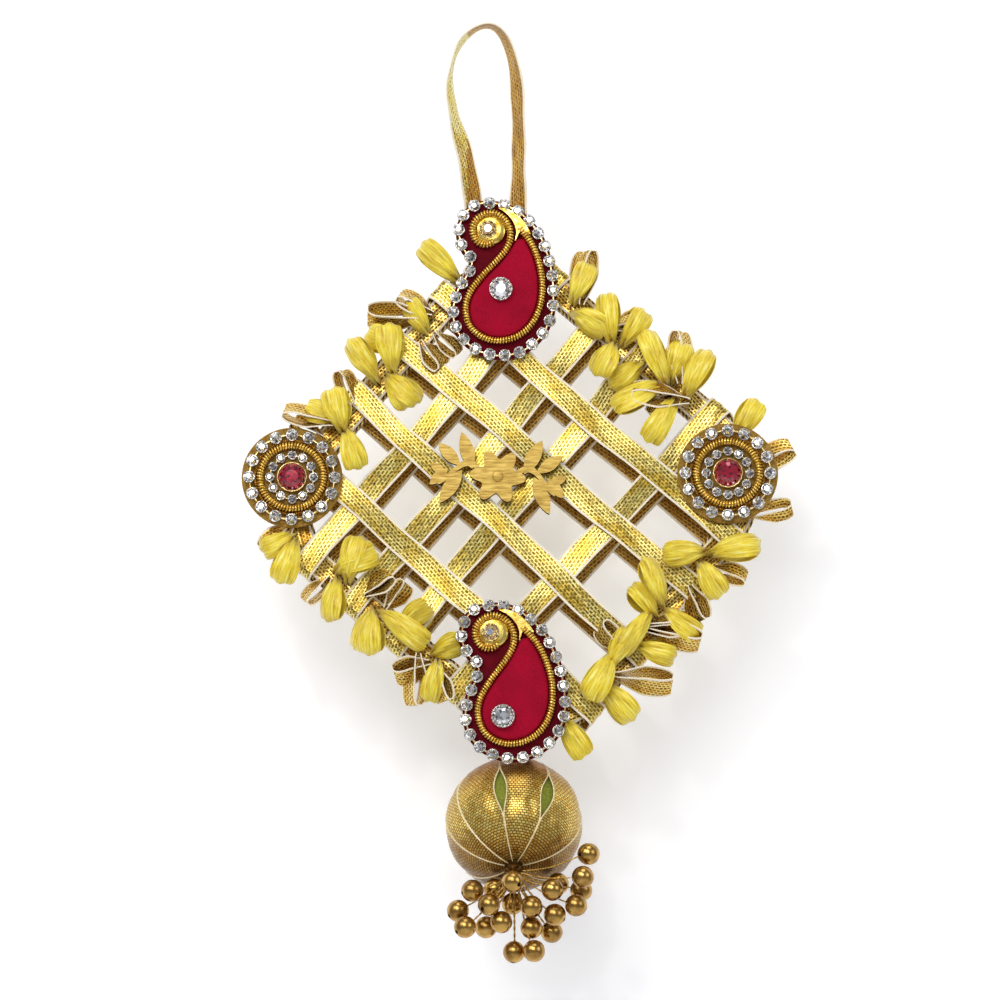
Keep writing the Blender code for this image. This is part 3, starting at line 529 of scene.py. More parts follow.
# %% [markdown]
# ## One maker for every ribbon
# A ribbon is a grid: a few faces across, many along. The grid is added flat, and each of its rows
# goes to its station, a pair of edge places. The outer faces are the cream edge thread. Solidify
# then gives the cloth its two sides, the back with a finish of its own; for the gold ribbon that is
# duller, browner and darker, partly painted shade. A curve with a flat profile would be quicker,
# but its face can't be turned station by station, as folded loops need.

# %% The ribbon maker
ACROSS = (0.0, 0.09, 0.2, 0.35, 0.5, 0.65, 0.8, 0.91, 1.0)


def ribbon(name, stations, thick, finishes, closed=False, crown=0.0, crease=0.0, seed=0.0, flip=False,
           onto=None, across=ACROSS):
    """A ribbon through its stations, in millimetres; finishes are face, back and edge.

    With onto, a rule gives each point's place from its row and its share of the width instead.
    """
    stations = [(Vector(first), Vector(last)) for first, last in stations]
    if closed:
        stations.append(stations[0])
    rows, columns = len(stations), len(across)
    set_down()
    bpy.ops.mesh.primitive_grid_add(x_subdivisions=columns - 1, y_subdivisions=rows - 1, size=1)
    piece = bpy.context.object
    piece.name = name
    mesh = piece.data
    walked = [0.0]
    for before, after in zip(stations, stations[1:]):
        walked.append(walked[-1] + ((after[0] + after[1]) - (before[0] + before[1])).length / 2)
    spots = {}
    for vertex in mesh.vertices:
        column = round((vertex.co.x + 0.5) * (columns - 1))
        row = round((vertex.co.y + 0.5) * (rows - 1))
        spots[vertex.index] = (row, column)
        first, last = stations[row]
        ahead = ((stations[min(row + 1, rows - 1)][0] - stations[max(row - 1, 0)][0])
                 + (stations[min(row + 1, rows - 1)][1] - stations[max(row - 1, 0)][1]))
        if closed and row in (0, rows - 1):
            ahead = stations[1][0] - stations[-2][0] + stations[1][1] - stations[-2][1]
        out = (last - first).cross(ahead).normalized()
        share = across[column]
        swell = crown * (1 - (2 * share - 1) ** 2)
        pinched = abs(2 * row / (rows - 1) - 1) ** 1.5 if crown > 0.3 else 0.6
        swell += crease * (0.45 + pinched) * math.sin(math.pi * share) \
            * math.sin(2 * math.pi * (share * 1.9 + 0.09 * walked[row]) + seed)
        vertex.co = (onto(row, share) if onto else first.lerp(last, share) + out * swell) * MM
    layer = mesh.uv_layers[0] if mesh.uv_layers else mesh.uv_layers.new()
    layer.name = "ribbon"
    width = sum((last - first).length for first, last in stations) / rows
    paint(piece, finishes[0], finishes[1], finishes[2], finishes[2])
    for face in mesh.polygons:
        held = [spots[vertex] for vertex in face.vertices]
        for corner, (row, column) in zip(face.loop_indices, held):
            here = (stations[row][1] - stations[row][0]).length if onto else width
            layer.data[corner].uv = ((across[column] - 0.5) * here, walked[row])
        edge = min(column for _, column in held)
        face.material_index = 2 if edge in (0, columns - 2) else 0
    take(piece)
    bpy.ops.object.mode_set(mode="EDIT")
    bpy.ops.mesh.select_all(action="SELECT")
    if closed:
        bpy.ops.mesh.remove_doubles(threshold=1e-6)
    if flip:
        bpy.ops.mesh.flip_normals()
    bpy.ops.object.mode_set(mode="OBJECT")
    wall = piece.modifiers.new("cloth", "SOLIDIFY")
    wall.thickness = thick * MM
    wall.offset = 0.0
    wall.material_offset = 1
    apply_all(piece)
    smooth(piece, 50)
    return piece


# %% [markdown]
# ## The frame and its sides
# A square ring of board, 94 mm across and turned to stand nearly on a corner, carries everything.
# Places on it are given along a side and out from the middle, so the tables below read like
# a maker's notes.

# %% Places on the frame
RING_X, RING_Z = 7.9, -114.5
RING_TURN = math.radians(49.5)
RING_HALF, RING_WIDTH, CORNER = 47.2, 7.0, 23.0
SIDES = {"upper_left": 0, "upper_right": 1, "lower_right": 2, "lower_left": 3}


def side_axes(side):
    """Directions out of and along a side, clockwise."""
    angle = math.radians(90) + RING_TURN - math.radians(90) * SIDES[side]
    return Vector((math.cos(angle), math.sin(angle))), Vector((math.sin(angle), -math.cos(angle)))


def on_side(side, along_side, out_of_middle):
    """The x and z of a place on a side."""
    out, along = side_axes(side)
    return Vector((RING_X, RING_Z)) + out * out_of_middle + along * along_side


# %% [markdown]
# ## The lattice
# Eight lengths of gold ribbon are wound round the frame and meet behind it. Four run up to the
# right, four lie over them. Each comes back a little lower behind, which is why a second ribbon
# shows under every front one, with its back face turned to the front, browner and darker with
# painted shade. A slow twist and a few soft creases keep them from looking like strips of card.

# %% Wind the eight ribbons
RIBBON = 6.0
RIBBON_CLOTH = 0.34
REACH = RING_HALF + 0.7       # to the middle of a ribbon's thickness outside the frame
STRAND_BEND = 1.4
BACK_DRIFT = 1.9
OVER_LEVEL, UNDER_LEVEL = 4.4, 3.3
STRANDS = [
    # name, way, offset at the first side and at the last, level forward
    ("strand_over_1", "down", 25.0, 25.0, OVER_LEVEL),
    ("strand_over_2", "down", 9.4, 9.4, OVER_LEVEL),
    ("strand_over_3", "down", -6.7, -10.4, OVER_LEVEL),
    ("strand_over_4", "down", -26.6, -27.8, OVER_LEVEL),
    ("strand_under_1", "up", -28.3, -28.3, UNDER_LEVEL),
    ("strand_under_2", "up", -13.4, -13.4, UNDER_LEVEL),
    ("strand_under_3", "up", 0.0, 0.0, UNDER_LEVEL),
    ("strand_under_4", "up", 18.0, 22.0, UNDER_LEVEL),
]


def strand_path(level_forward):
    """Run, forward and share of the back drift along one turn round the frame."""
    near = REACH - STRAND_BEND
    path = [(-near + 2 * near * step / 28, level_forward, 0.0) for step in range(29)]
    for angle in range(15, 91, 15):
        bend = math.radians(angle)
        path.append((near + STRAND_BEND * math.sin(bend),
                     level_forward - STRAND_BEND + STRAND_BEND * math.cos(bend), 0.12 * angle / 90))
    for angle in range(0, 91, 15):
        bend = math.radians(angle)
        path.append((near + STRAND_BEND * math.cos(bend),
                     -(level_forward - STRAND_BEND) - STRAND_BEND * math.sin(bend),
                     0.88 + 0.12 * angle / 90))
    path += [(near - 2 * near * step / 28, -level_forward, 1.0) for step in range(1, 28)]
    return path + [(-run, height, share) for run, height, share in path[29:42]][::-1]


def wind(name, way, first, last, level_forward):
    """One ribbon round the frame, with a slow twist and creases."""
    down = -side_axes("upper_left")[0]
    up = side_axes("upper_right")[0]
    along, aside = (down, up) if way == "down" else (up, down)
    drift = -BACK_DRIFT if way == "down" else BACK_DRIFT
    seed = 1.7 * first
    stations = []
    for index, (run, height, share) in enumerate(strand_path(level_forward)):
        part = (run + REACH) / (2 * REACH)
        sway = 0.3 * math.sin(0.1 * run + seed) + 0.12 * math.sin(0.31 * run + 2 * seed)
        middle = first + (last - first) * part + drift * share + sway * (1 - share)
        width = RIBBON * (1 - 0.04 * (1 + math.sin(0.17 * run + seed)))
        tilt = 0.3 * math.sin(0.13 * run + 1.3 * seed) * (1 if abs(run) < 40 else 0.2)
        pair = []
        for edge in (-0.5, 0.5):
            flat = along * run + aside * (middle + edge * width)
            forward = height + 2 * edge * tilt * (1 if height > 0 else -1)
            pair.append((RING_X + flat.x, -forward, RING_Z + flat.y))
        stations.append(pair)
    return ribbon(name + "_cloth", stations, RIBBON_CLOTH, (WOVEN_FRONT, WOVEN_BACK_AND_SHADE, CREAM),
                  closed=True, crease=0.13, seed=seed, flip=(way == "down"))


for name, way, first, last, level_forward in STRANDS:
    place_piece(wind(name, way, first, last, level_forward), "gold_ribbon", name)

# %% [markdown]
# ## Loops along the frame
# Each side carries a row of short loops. A satin loop is a folded length that lies open to the
# front, pinched at its root and puffed like a petal. A tinsel loop stands on its edge, so the
# front shows its two cream edge threads as an open drop. The table gives each loop's root, the
# way it points, its length, and how far its back and its front stand forward. Simulated cloth
# would sag, while these short stiff ends keep the fold they were glued in, so it is given.

# %% The loops, side by side
LOOP_CLOTH = 0.26
STRIP_FRONT = 2.6
LOOPS = {
    "upper_left": {
        "satin": [
            # along, out, heading, length, low, high
            (29.9, 45.9, 136, 11, 0.4, 4.4), (15.6, 43.4, 122, 7.5, 0.4, 4.2),
            (-1, 45, 124, 9.5, 3.2, 7.4), (3.4, 43.2, 96, 9.5, 3.2, 6.6), (1.8, 41.6, 314, 8, 0.4, 4.2),
            (-15.4, 42.8, 104, 9, 3.2, 6.8), (-15.4, 41.4, 286, 9, 3.2, 6.6),
            (-13.4, 45.2, 168, 8, 0.4, 2.6)],
        "tinsel": [
            (17.6, 45.4, 178, 14, 0.2, 4.6), (19.4, 44.4, 150, 9.5, 0.4, 5),
            (-16.2, 45.2, 165, 12.5, 0.4, 4.8), (-20.2, 45, 150, 8.5, 0.2, 2.3),
            (16.4, 41.4, 318, 8, 0.2, 2.1)]},
    "upper_right": {
        "satin": [
            (-21, 44, 66, 8.5, 3.2, 6.6), (-18.6, 41.6, 330, 8.5, 3.2, 6.6), (-8, 42.4, 96, 10, 3.2, 7),
            (-5.4, 44, 56, 8.5, 0.4, 4.4), (8.6, 43, 112, 12, 3.2, 7.4), (14.2, 44.2, 62, 10.5, 3.2, 7),
            (-6.8, 41.4, 246, 7.5, 3.2, 6.6), (8, 41.4, 206, 11.5, 3.2, 6.6),
            (13, 41.2, 238, 11.5, 3.2, 7), (29.4, 44.6, 56, 9, 0.2, 2.2)],
        "tinsel": [
            (-18.8, 44.2, 84, 13.5, 0.2, 5), (11.4, 45, 90, 13, 0.2, 4.6),
            (16, 42.6, 168, 14, 4.2, 8.2), (36.6, 39.4, 26, 13, 0.2, 2.3)]},
    "lower_right": {
        "satin": [
            (-17.6, 41.4, 186, 8.5, 3.2, 6.6), (-19.4, 43.8, 8, 10, 3.2, 7.2),
            (-15.2, 43.4, 300, 8.5, 3.2, 6.8), (2, 41.4, 236, 11, 3.2, 7),
            (-2.6, 41.6, 112, 9.5, 3.2, 6.8), (-1.6, 44.4, 322, 9, 0.4, 4.4),
            (15.8, 41.2, 244, 10.5, 3.2, 7), (16.6, 42.4, 62, 8, 3.2, 6.6),
            (34.2, 42.6, 300, 9.5, 0.2, 2.1), (22, 45, 312, 9.5, 0.4, 4.4)],
        "tinsel": [
            (-32.6, 45.2, 12, 9.5, 0.2, 2.3), (-16.2, 45.6, 342, 9, 0.2, 3),
            (5.4, 43.2, 10, 11.5, 0.2, 4.6), (4.4, 43.2, 344, 13.5, 0.2, 5), (18.2, 45, 352, 14, 0.2, 5)]},
    "lower_left": {
        "satin": [
            (35.2, 42.8, 206, 7.5, 0.4, 4.4), (33.6, 43.8, 252, 9.5, 3.2, 7),
            (21.6, 41.8, 24, 9.5, 3.2, 6.8), (18.4, 41.6, 76, 9, 3.2, 6.6),
            (20, 44.2, 262, 9, 2.2, 5.6), (6.4, 42.8, 324, 12, 3.2, 7), (8.2, 44.8, 266, 8.5, 2.2, 5.6),
            (-8.8, 41.8, 24, 6.5, 0.2, 2.1), (-11, 43.4, 258, 9, 3.2, 6.4)],
        "tinsel": [
            (21.6, 44.4, 224, 8.5, 0.2, 4.6), (36.8, 40.2, 222, 10, 0.2, 2.3),
            (-6.2, 44.8, 266, 12.5, 0.2, 4.8), (-11.6, 44.4, 286, 8.5, 2, 6), (7, 41.4, 50, 8, 0.2, 2.2)]},
}
FILLERS = [
    # small low loops between the others: ribbon, along, turn from straight out, length
    ("tinsel", -9.5, -30, 9.0), ("satin", 9.0, 22, 8.5), ("satin", 1.0, 168, 7.5), ("tinsel", 12.5, 172, 8.0)]
OUT_HEADING = {"upper_left": 139.5, "upper_right": 49.5, "lower_right": -40.5, "lower_left": 229.5}


def satin_loop(name, root, heading, length, low, high):
    """A folded loop with its face forward, puffed between its pinched ends."""
    ahead = Vector((math.cos(heading), 0, math.sin(heading)))
    across = Vector((-ahead.z, 0, ahead.x))
    lean, turn = chance.uniform(-1.5, 1.5), chance.uniform(-0.75, 0.75)
    broad = chance.uniform(0.86, 1.08)
    fold = [
        # share of the length, forward, width, aside, turn of the face
        (0.02, 0.0, 2.2, 0, 0), (0.17, max(low, 0.4), 3.8, 0.1, 0.2), (0.45, low - 0.1, 5.6, 0.3, 0.4),
        (0.78, low + 0.2, 6.3, 0.2, 0.6), (1.0, (low + high) / 2, 5.6, -0.1, 1.0),
        (0.80, high, 6.2, -0.3, 1.0), (0.45, high + 0.1, 5.4, -0.4, 0.6), (0.16, high - 0.6, 3.6, -0.2, 0.2),
        (-0.06, 0.2, 2.0, 0, 0)]
    rows = []
    for share, forward, width, aside, twist in fold:
        centre = root + ahead * (share * length) + across * (aside * lean) + Vector((0, -forward, 0))
        rows.append((*centre, width * (broad if 0.1 < share else 1), twist * turn))
    stations = []
    for x, y, z, width, twist in smooth_line(rows, 30):
        side = across * math.cos(twist) + Vector((0, -1, 0)) * math.sin(twist)
        stations.append((Vector((x, y, z)) - side * width / 2, Vector((x, y, z)) + side * width / 2))
    return ribbon(name, stations, LOOP_CLOTH, (SATIN, SATIN, SATIN), crown=chance.uniform(0.5, 1.2),
                  crease=0.7, seed=chance.uniform(0, 6))


def tinsel_loop(name, root, heading, length, low, high):
    """A loop that stands on its edge and leans aside, so that its faces show."""
    ahead = Vector((math.cos(heading), 0, math.sin(heading)))
    aside = Vector((-ahead.z, 0, ahead.x))
    belly = min(0.22 * length + 1.2, 3.8)
    flare = chance.uniform(0.7, 1.0)
    shift = chance.choice((-1, 1)) * chance.uniform(2.2, 3.6)
    drop = [
        # along and aside as shares of the length and the belly, share of "low" that is reached
        (-0.02, -0.16, 0.0), (0.2, -0.34, 1.0), (0.5, -0.5, 1.0), (0.8, -0.46, 1.0), (0.97, -0.22, 1.0),
        (0.99, 0.1, 1.0), (0.84, 0.44, 1.0), (0.5, 0.5, 1.0), (0.2, 0.3, 1.0), (-0.02, 0.16, 0.0)]
    rows = []
    for share, side, risen in drop:
        centre = root + ahead * (share * length)
        rows.append((*centre, side * belly, low * risen - 0.25 * (1 - risen)))
    stations = []
    for x, y, z, side, near in smooth_line(rows, 30):
        place = Vector((x, y, z))
        free = min(1.0, abs((place - root).length) / (0.5 * length))
        stations.append((place + aside * (side - shift * free * 0.5) + Vector((0, -near, 0)),
                         place + aside * (side * flare + shift * free * 0.5) + Vector((0, -high, 0))))
    return ribbon(name, stations, LOOP_CLOTH, (TINSEL, TINSEL, CREAM), crown=0.15, crease=0.1,
                  seed=chance.uniform(0, 6))


def side_strip(side):
    """Tinsel wound flat along the front of one side, under the loops."""
    straight = RING_HALF - CORNER
    stations = []
    for step in range(49):
        run = -36 + 72 * step / 48
        bend = max(abs(run) - straight, 0) / (CORNER - RING_WIDTH / 2) * (1 if run > 0 else -1)
        pair = []
        for radius in (CORNER - 6.4, CORNER - 0.6):
            held = max(min(run, straight), -straight)
            flat = on_side(side, held + radius * math.sin(bend), straight + radius * math.cos(bend))
            pair.append((flat.x, -2.2 - 0.25 * math.sin(1.1 * run + radius), flat.y))
        stations.append(pair)
    return ribbon("strip", stations, 0.4, (TINSEL, TINSEL, CREAM), crown=0.1, crease=0.25, seed=1.0)


for side, kinds in LOOPS.items():
    makers = {"satin": satin_loop, "tinsel": tinsel_loop}
    for kind, rows in kinds.items():
        loops = [] if kind == "satin" else [side_strip(side)]
        extra = [(along, 42.2 if abs(turn) > 90 else 44.6, OUT_HEADING[side] + turn, length, 0.4, 4.0)
                 for ribbon_kind, along, turn, length in FILLERS if ribbon_kind == kind]
        for along, out, heading, length, low, high in rows + extra:
            place = on_side(side, along, out)
            root = Vector((place.x, -STRIP_FRONT, place.y))
            loops.append(makers[kind]("loop", root, math.radians(heading), length, low, high))
        place_piece(join("trim_%s_%s" % (side, kind), loops),
                    "yellow_satin" if kind == "satin" else "gold_ribbon", "trim_" + side)

# %% [markdown]
# ## Patches: the shared parts
# Two paisleys and two rounds are made of the same parts: a felt base, coiled wire couched down in
# a line, and cup chain, which is a row of small stones in claws. A felt base is a filled outline
# that is extruded and rounded. The coil is a true spiral of thin wire, because its fine ridges are
# what makes it read as embroidery.

# %% Plates, pads and wire
PATCH_BACK, FELT_THICK, GAP = 5.1, 1.2, 0.3
SEAT = PATCH_BACK + FELT_THICK + GAP
COIL_RADIUS = 0.9


def turned(points, turn, x, z):
    """Points turned about their origin and moved."""
    spin = Matrix.Rotation(math.radians(turn), 2)
    return [spin @ Vector(point) + Vector((x, z)) for point in points]


def grown(outline, amount):
    """A closed outline moved outwards, or inwards where amount is negative."""
    count = len(outline)
    area = sum(outline[i][0] * outline[(i + 1) % count][1] - outline[(i + 1) % count][0] * outline[i][1]
               for i in range(count))
    result = []
    for index, point in enumerate(outline):
        after, before = outline[(index + 1) % count], outline[index - 1]
        normal = Vector((after[1] - before[1], before[0] - after[0])).normalized()
        result.append(Vector(point) + normal * (amount if area > 0 else -amount))
    return result


def circle(x, z, radius, steps):
    """Points round a circle."""
    return [Vector((x + radius * math.cos(2 * math.pi * step / steps),
                    z + radius * math.sin(2 * math.pi * step / steps))) for step in range(steps)]


def filled(name, outline, back):
    """A flat filled outline facing the front."""
    set_down()
    bpy.ops.mesh.primitive_circle_add(vertices=len(outline), radius=1, fill_type="NGON")
    piece = bpy.context.object
    piece.name = name
    for vertex, point in zip(piece.data.vertices, outline):
        vertex.co = at(point[0], point[1], back)
    return piece


def raised(piece, rings, middle=None):
    """Extrude the selected face forward ring by ring; each ring is (forward, share of its size)."""
    take(piece)
    bpy.ops.object.mode_set(mode="EDIT")
    bpy.ops.mesh.select_all(action="SELECT")
    if middle is None:
        middle = sum((vertex.co for vertex in piece.data.vertices), Vector()) / len(piece.data.vertices)
    for forward, share in rings:
        bpy.ops.mesh.extrude_region_move(TRANSFORM_OT_translate={"value": (0, -forward * MM, 0)})
        if share != 1:
            bpy.ops.transform.resize(value=(share, 1, share), center_override=middle)
    bpy.ops.mesh.select_all(action="SELECT")
    bpy.ops.mesh.normals_make_consistent(inside=False)
    bpy.ops.object.mode_set(mode="OBJECT")
    return piece


def felt_plate(name, outline, back, thick, finish, edge=0.3):
    """Cut felt with a soft edge."""
    piece = raised(filled(name, outline, back), [(thick, 1)])
    paint(piece, finish)
    round_off = piece.modifiers.new("soft edge", "BEVEL")
    round_off.width = edge * MM
    round_off.segments = 3
    round_off.limit_method = "ANGLE"
    round_off.angle_limit = math.radians(50)
    apply_all(piece)
    smooth(piece, 40)
    return piece


def wire(name, points, radius, finish, closed=False, sides=1):
    """A round wire through places in metres, as a mesh."""
    curve = bpy.data.curves.new(name, "CURVE")
    curve.dimensions = "3D"
    curve.bevel_depth = radius * MM
    curve.bevel_resolution = sides
    curve.use_fill_caps = not closed
    spline = curve.splines.new("POLY")
    spline.points.add(len(points) - 1)
    for spot, place in zip(spline.points, points):
        spot.co = (*place, 1)
    spline.use_cyclic_u = closed
    piece = bpy.data.objects.new(name, curve)
    bpy.context.collection.objects.link(piece)
    take(piece)
    bpy.ops.object.convert(target="MESH")
    piece = bpy.context.object
    paint(piece, finish)
    smooth(piece)
    return piece


def coil(name, line, forward, finish, closed=False, core=0.66, gauge=0.31, pitch=0.68):
    """Thin wire wound round a line of x and z places."""
    spots = [Vector((x, -forward, z)) for x, z in line]
    length = sum((b - a).length for a, b in zip(spots, spots[1:] + spots[:1] if closed else spots[1:]))
    turns = int(length / pitch)
    around = 9
    fine = smooth_line([tuple(spot) for spot in spots], turns * around, closed)
    count = len(fine)
    places = []
    for index, spot in enumerate(fine):
        after = fine[(index + 1) % count if closed else min(index + 1, count - 1)]
        before = fine[index - 1 if closed else max(index - 1, 0)]
        ahead = (Vector(after) - Vector(before)).normalized()
        aside = ahead.cross(Vector((0, -1, 0))).normalized()
        angle = 2 * math.pi * index / around
        places.append((Vector(spot) + aside * (core * math.cos(angle))
                       + Vector((0, -1, 0)) * (core * math.sin(angle))) * MM)
    return wire(name, places, gauge, finish, closed)


# %% [markdown]
# ## Stones in their settings
# A stone is a short drum whose top edge is cut back in flat facets, with a table on top. Its cup
# is a thin ring with four claws bent over the rim. One stone and one cup are modelled and then
# copied all along the chain. Shading stays flat on the stone, so that each facet mirrors its own
# part of the room.

# %% Model one stone, one cup and one link
def cut_stone(name, width, height, facets, finish):
    """A faceted stone seen from the front, its back at zero."""
    set_down()
    bpy.ops.mesh.primitive_cylinder_add(vertices=facets, radius=width / 2 * MM, depth=0.35 * height * MM,
                                        rotation=(math.radians(90), 0, 0),
                                        location=(0, -0.175 * height * MM, 0))
    piece = bpy.context.object
    piece.name = name
    bpy.ops.object.transform_apply(location=True, rotation=True, scale=True)
    front = -0.35 * height * MM
    for share, rise, turn in ((0.74, 0.40, 180 / facets), (0.62, 0.25, 0)):
        bpy.ops.object.mode_set(mode="EDIT")
        bpy.ops.mesh.select_all(action="DESELECT")
        bpy.ops.object.mode_set(mode="OBJECT")
        for face in piece.data.polygons:
            face.select = face.center.y < front + 1e-6 and face.normal.y < -0.9
        bpy.ops.object.mode_set(mode="EDIT")
        bpy.ops.mesh.select_mode(type="FACE")
        bpy.ops.mesh.extrude_region_move(TRANSFORM_OT_translate={"value": (0, -rise * height * MM, 0)})
        bpy.ops.transform.resize(value=(share, 1, share), center_override=(0, 0, 0))
        if turn:
            bpy.ops.transform.rotate(value=math.radians(turn), orient_axis="Y", center_override=(0, 0, 0))
        front -= rise * height * MM
        bpy.ops.object.mode_set(mode="OBJECT")
    bpy.ops.object.mode_set(mode="EDIT")
    bpy.ops.mesh.select_all(action="SELECT")
    bpy.ops.mesh.quads_convert_to_tris()
    bpy.ops.mesh.normals_make_consistent(inside=False)
    bpy.ops.object.mode_set(mode="OBJECT")
    bpy.ops.object.shade_flat()
    paint(piece, finish)
    return piece


def claw_cup(name, width, height, claws, finish, claw=0.32):
    """A ring round a stone with claws bent over its rim."""
    set_down()
    bpy.ops.mesh.primitive_torus_add(major_segments=16, minor_segments=6, major_radius=width / 2 * MM,
                                     minor_radius=0.2 * MM, rotation=(math.radians(90), 0, 0),
                                     location=(0, -0.35 * height * MM, 0))
    parts = [bpy.context.object]
    bpy.ops.object.transform_apply(location=True, rotation=True, scale=True)
    for index in range(claws):
        angle = 2 * math.pi * (index + 0.5) / claws
        set_down()
        bpy.ops.mesh.primitive_ico_sphere_add(subdivisions=1, radius=claw * MM)
        tip = bpy.context.object
        bpy.ops.transform.resize(value=(1, 1.7, 1))
        reach = width / 2 - 0.05
        tip.location = at(reach * math.cos(angle), reach * math.sin(angle), 0.52 * height)
        bpy.ops.object.transform_apply(location=True, rotation=True, scale=True)
        parts.append(tip)
    piece = join(name, parts)
    paint(piece, finish)
    smooth(piece)
    return piece


CHAIN_STONE = cut_stone("chain_stone", 2.5, 2.1, 8, CLEAR)
CHAIN_CUP = claw_cup("chain_cup", 2.6, 2.0, 4, SILVER, 0.36)
set_down()
bpy.ops.mesh.primitive_cylinder_add(vertices=8, radius=0.28 * MM, depth=1.2 * MM,
                                    rotation=(0, math.radians(90), 0), location=(0, -0.5 * MM, 0))
CHAIN_LINK = bpy.context.object
pinch = CHAIN_LINK.modifiers.new("rounded", "BEVEL")
pinch.width = 0.1 * MM
apply_all(CHAIN_LINK)
paint(CHAIN_LINK, CLAW)


def cup_chain(name, line, stones, size=1.0, seat=SEAT):
    """Stones and cups copied along a closed line, with links between them."""
    places = smooth_line([tuple(point) for point in line], stones * 2, True)
    gems, cups = [], []
    for index, (x, z) in enumerate(places):
        after, before = places[(index + 1) % len(places)], places[index - 1]
        heading = math.atan2(after[1] - before[1], after[0] - before[0])
        wobble = math.radians(chance.uniform(-6, 6))
        lean = Matrix.Rotation(math.radians(chance.uniform(-7, 7)), 4, "X") \
            @ Matrix.Rotation(math.radians(chance.uniform(-7, 7)), 4, "Z")
        place = Matrix.Translation(at(x, z, seat)) @ Matrix.Rotation(-heading - wobble, 4, "Y")
        if index % 2:
            cups.append(copy_to(CHAIN_LINK, place @ Matrix.Scale(size, 4)))
        else:
            gems.append(copy_to(CHAIN_STONE, place @ lean @ Matrix.Scale(size, 4)))
            cups.append(copy_to(CHAIN_CUP, place @ lean @ Matrix.Scale(size, 4)))
    return join(name, gems + cups)


# %% [markdown]
# ## The paisleys
# Both are the same shape, a drop with a hooked head, the lower one turned a little. From the back
# to the front: dark felt cut a little larger than the chain, a red velvet pad that swells inside
# the coil, the coil itself running round the belly and curling into the head, bright gold tissue
# between head and tip, and two larger stones. Each could be sculpted from one block, but separate
# parts keep the crisp line between pad and coil.

# %% Sew the two paisleys
COIL_LINE = [
    # x, z from the belly's middle: round the belly, back to the tip and into the head
    (3.8, 18.2), (6.6, 14.2), (8.3, 9.6), (9.1, 4.1), (8.2, -1.7), (5.5, -6.2), (1.2, -8.7),
    (-3.8, -8.7), (-7.9, -5.9), (-9.2, -1.6), (-8.2, 2.6), (-5.0, 6.9), (-1.5, 10.6),
    (0.9, 13.8), (1.6, 17.0), (0.4, 20.0), (-2.0, 21.7), (-4.7, 21.6), (-6.9, 20.0),
    (-7.6, 17.5), (-6.6, 15.0), (-4.4, 14.1), (-2.4, 14.9)]
BELLY_POINTS = 14
CHAIN_LINE = [
    (-3.6, 24.3), (0.6, 23.6), (4.6, 21.2), (8.4, 16.6), (10.8, 10.0), (11.7, 3.4), (11.2, -2.8),
    (8.8, -7.8), (4.4, -11.4), (-1.2, -12.6), (-6.4, -11.2), (-10.6, -7.6), (-12.2, -2.4),
    (-11.0, 3.2), (-8.6, 7.2), (-7.7, 10.6), (-9.7, 13.2), (-10.8, 17.2), (-9.6, 21.4), (-6.8, 23.8)]
PAISLEYS = {
    # x and z of the belly's middle, turn, centre stone x and z, claws on its setting, what carries it
    "top": (3.9, -68.6, 0.0, 3.1, -65.3, 12, "strand_over_1"),
    "bottom": (6.7, -164.8, 7.0, 3.6, -167.5, 18, "strand_over_4"),
}
CHAIN_STONES = 28
TIP_FILL = [(2.6, 14.8), (2.9, 17.4), (2.0, 19.9), (0.2, 22.0), (-1.6, 23.2), (1.2, 22.6), (3.4, 21.2),
            (5.4, 18.6), (6.4, 16.4), (4.4, 17.6), (3.4, 16.6)]


def set_stone(name, x, z, forward, width, height, facets, claws, finish, metal, claw=0.32):
    """One larger stone in its claw setting."""
    stone = cut_stone(name, width, height, facets, finish)
    cup = claw_cup(name + "_cup", width + 0.3, height, claws, metal, claw)
    for part in (stone, cup):
        part.data.transform(Matrix.Translation(at(x, z, forward)))
    return join(name, [cup, stone])


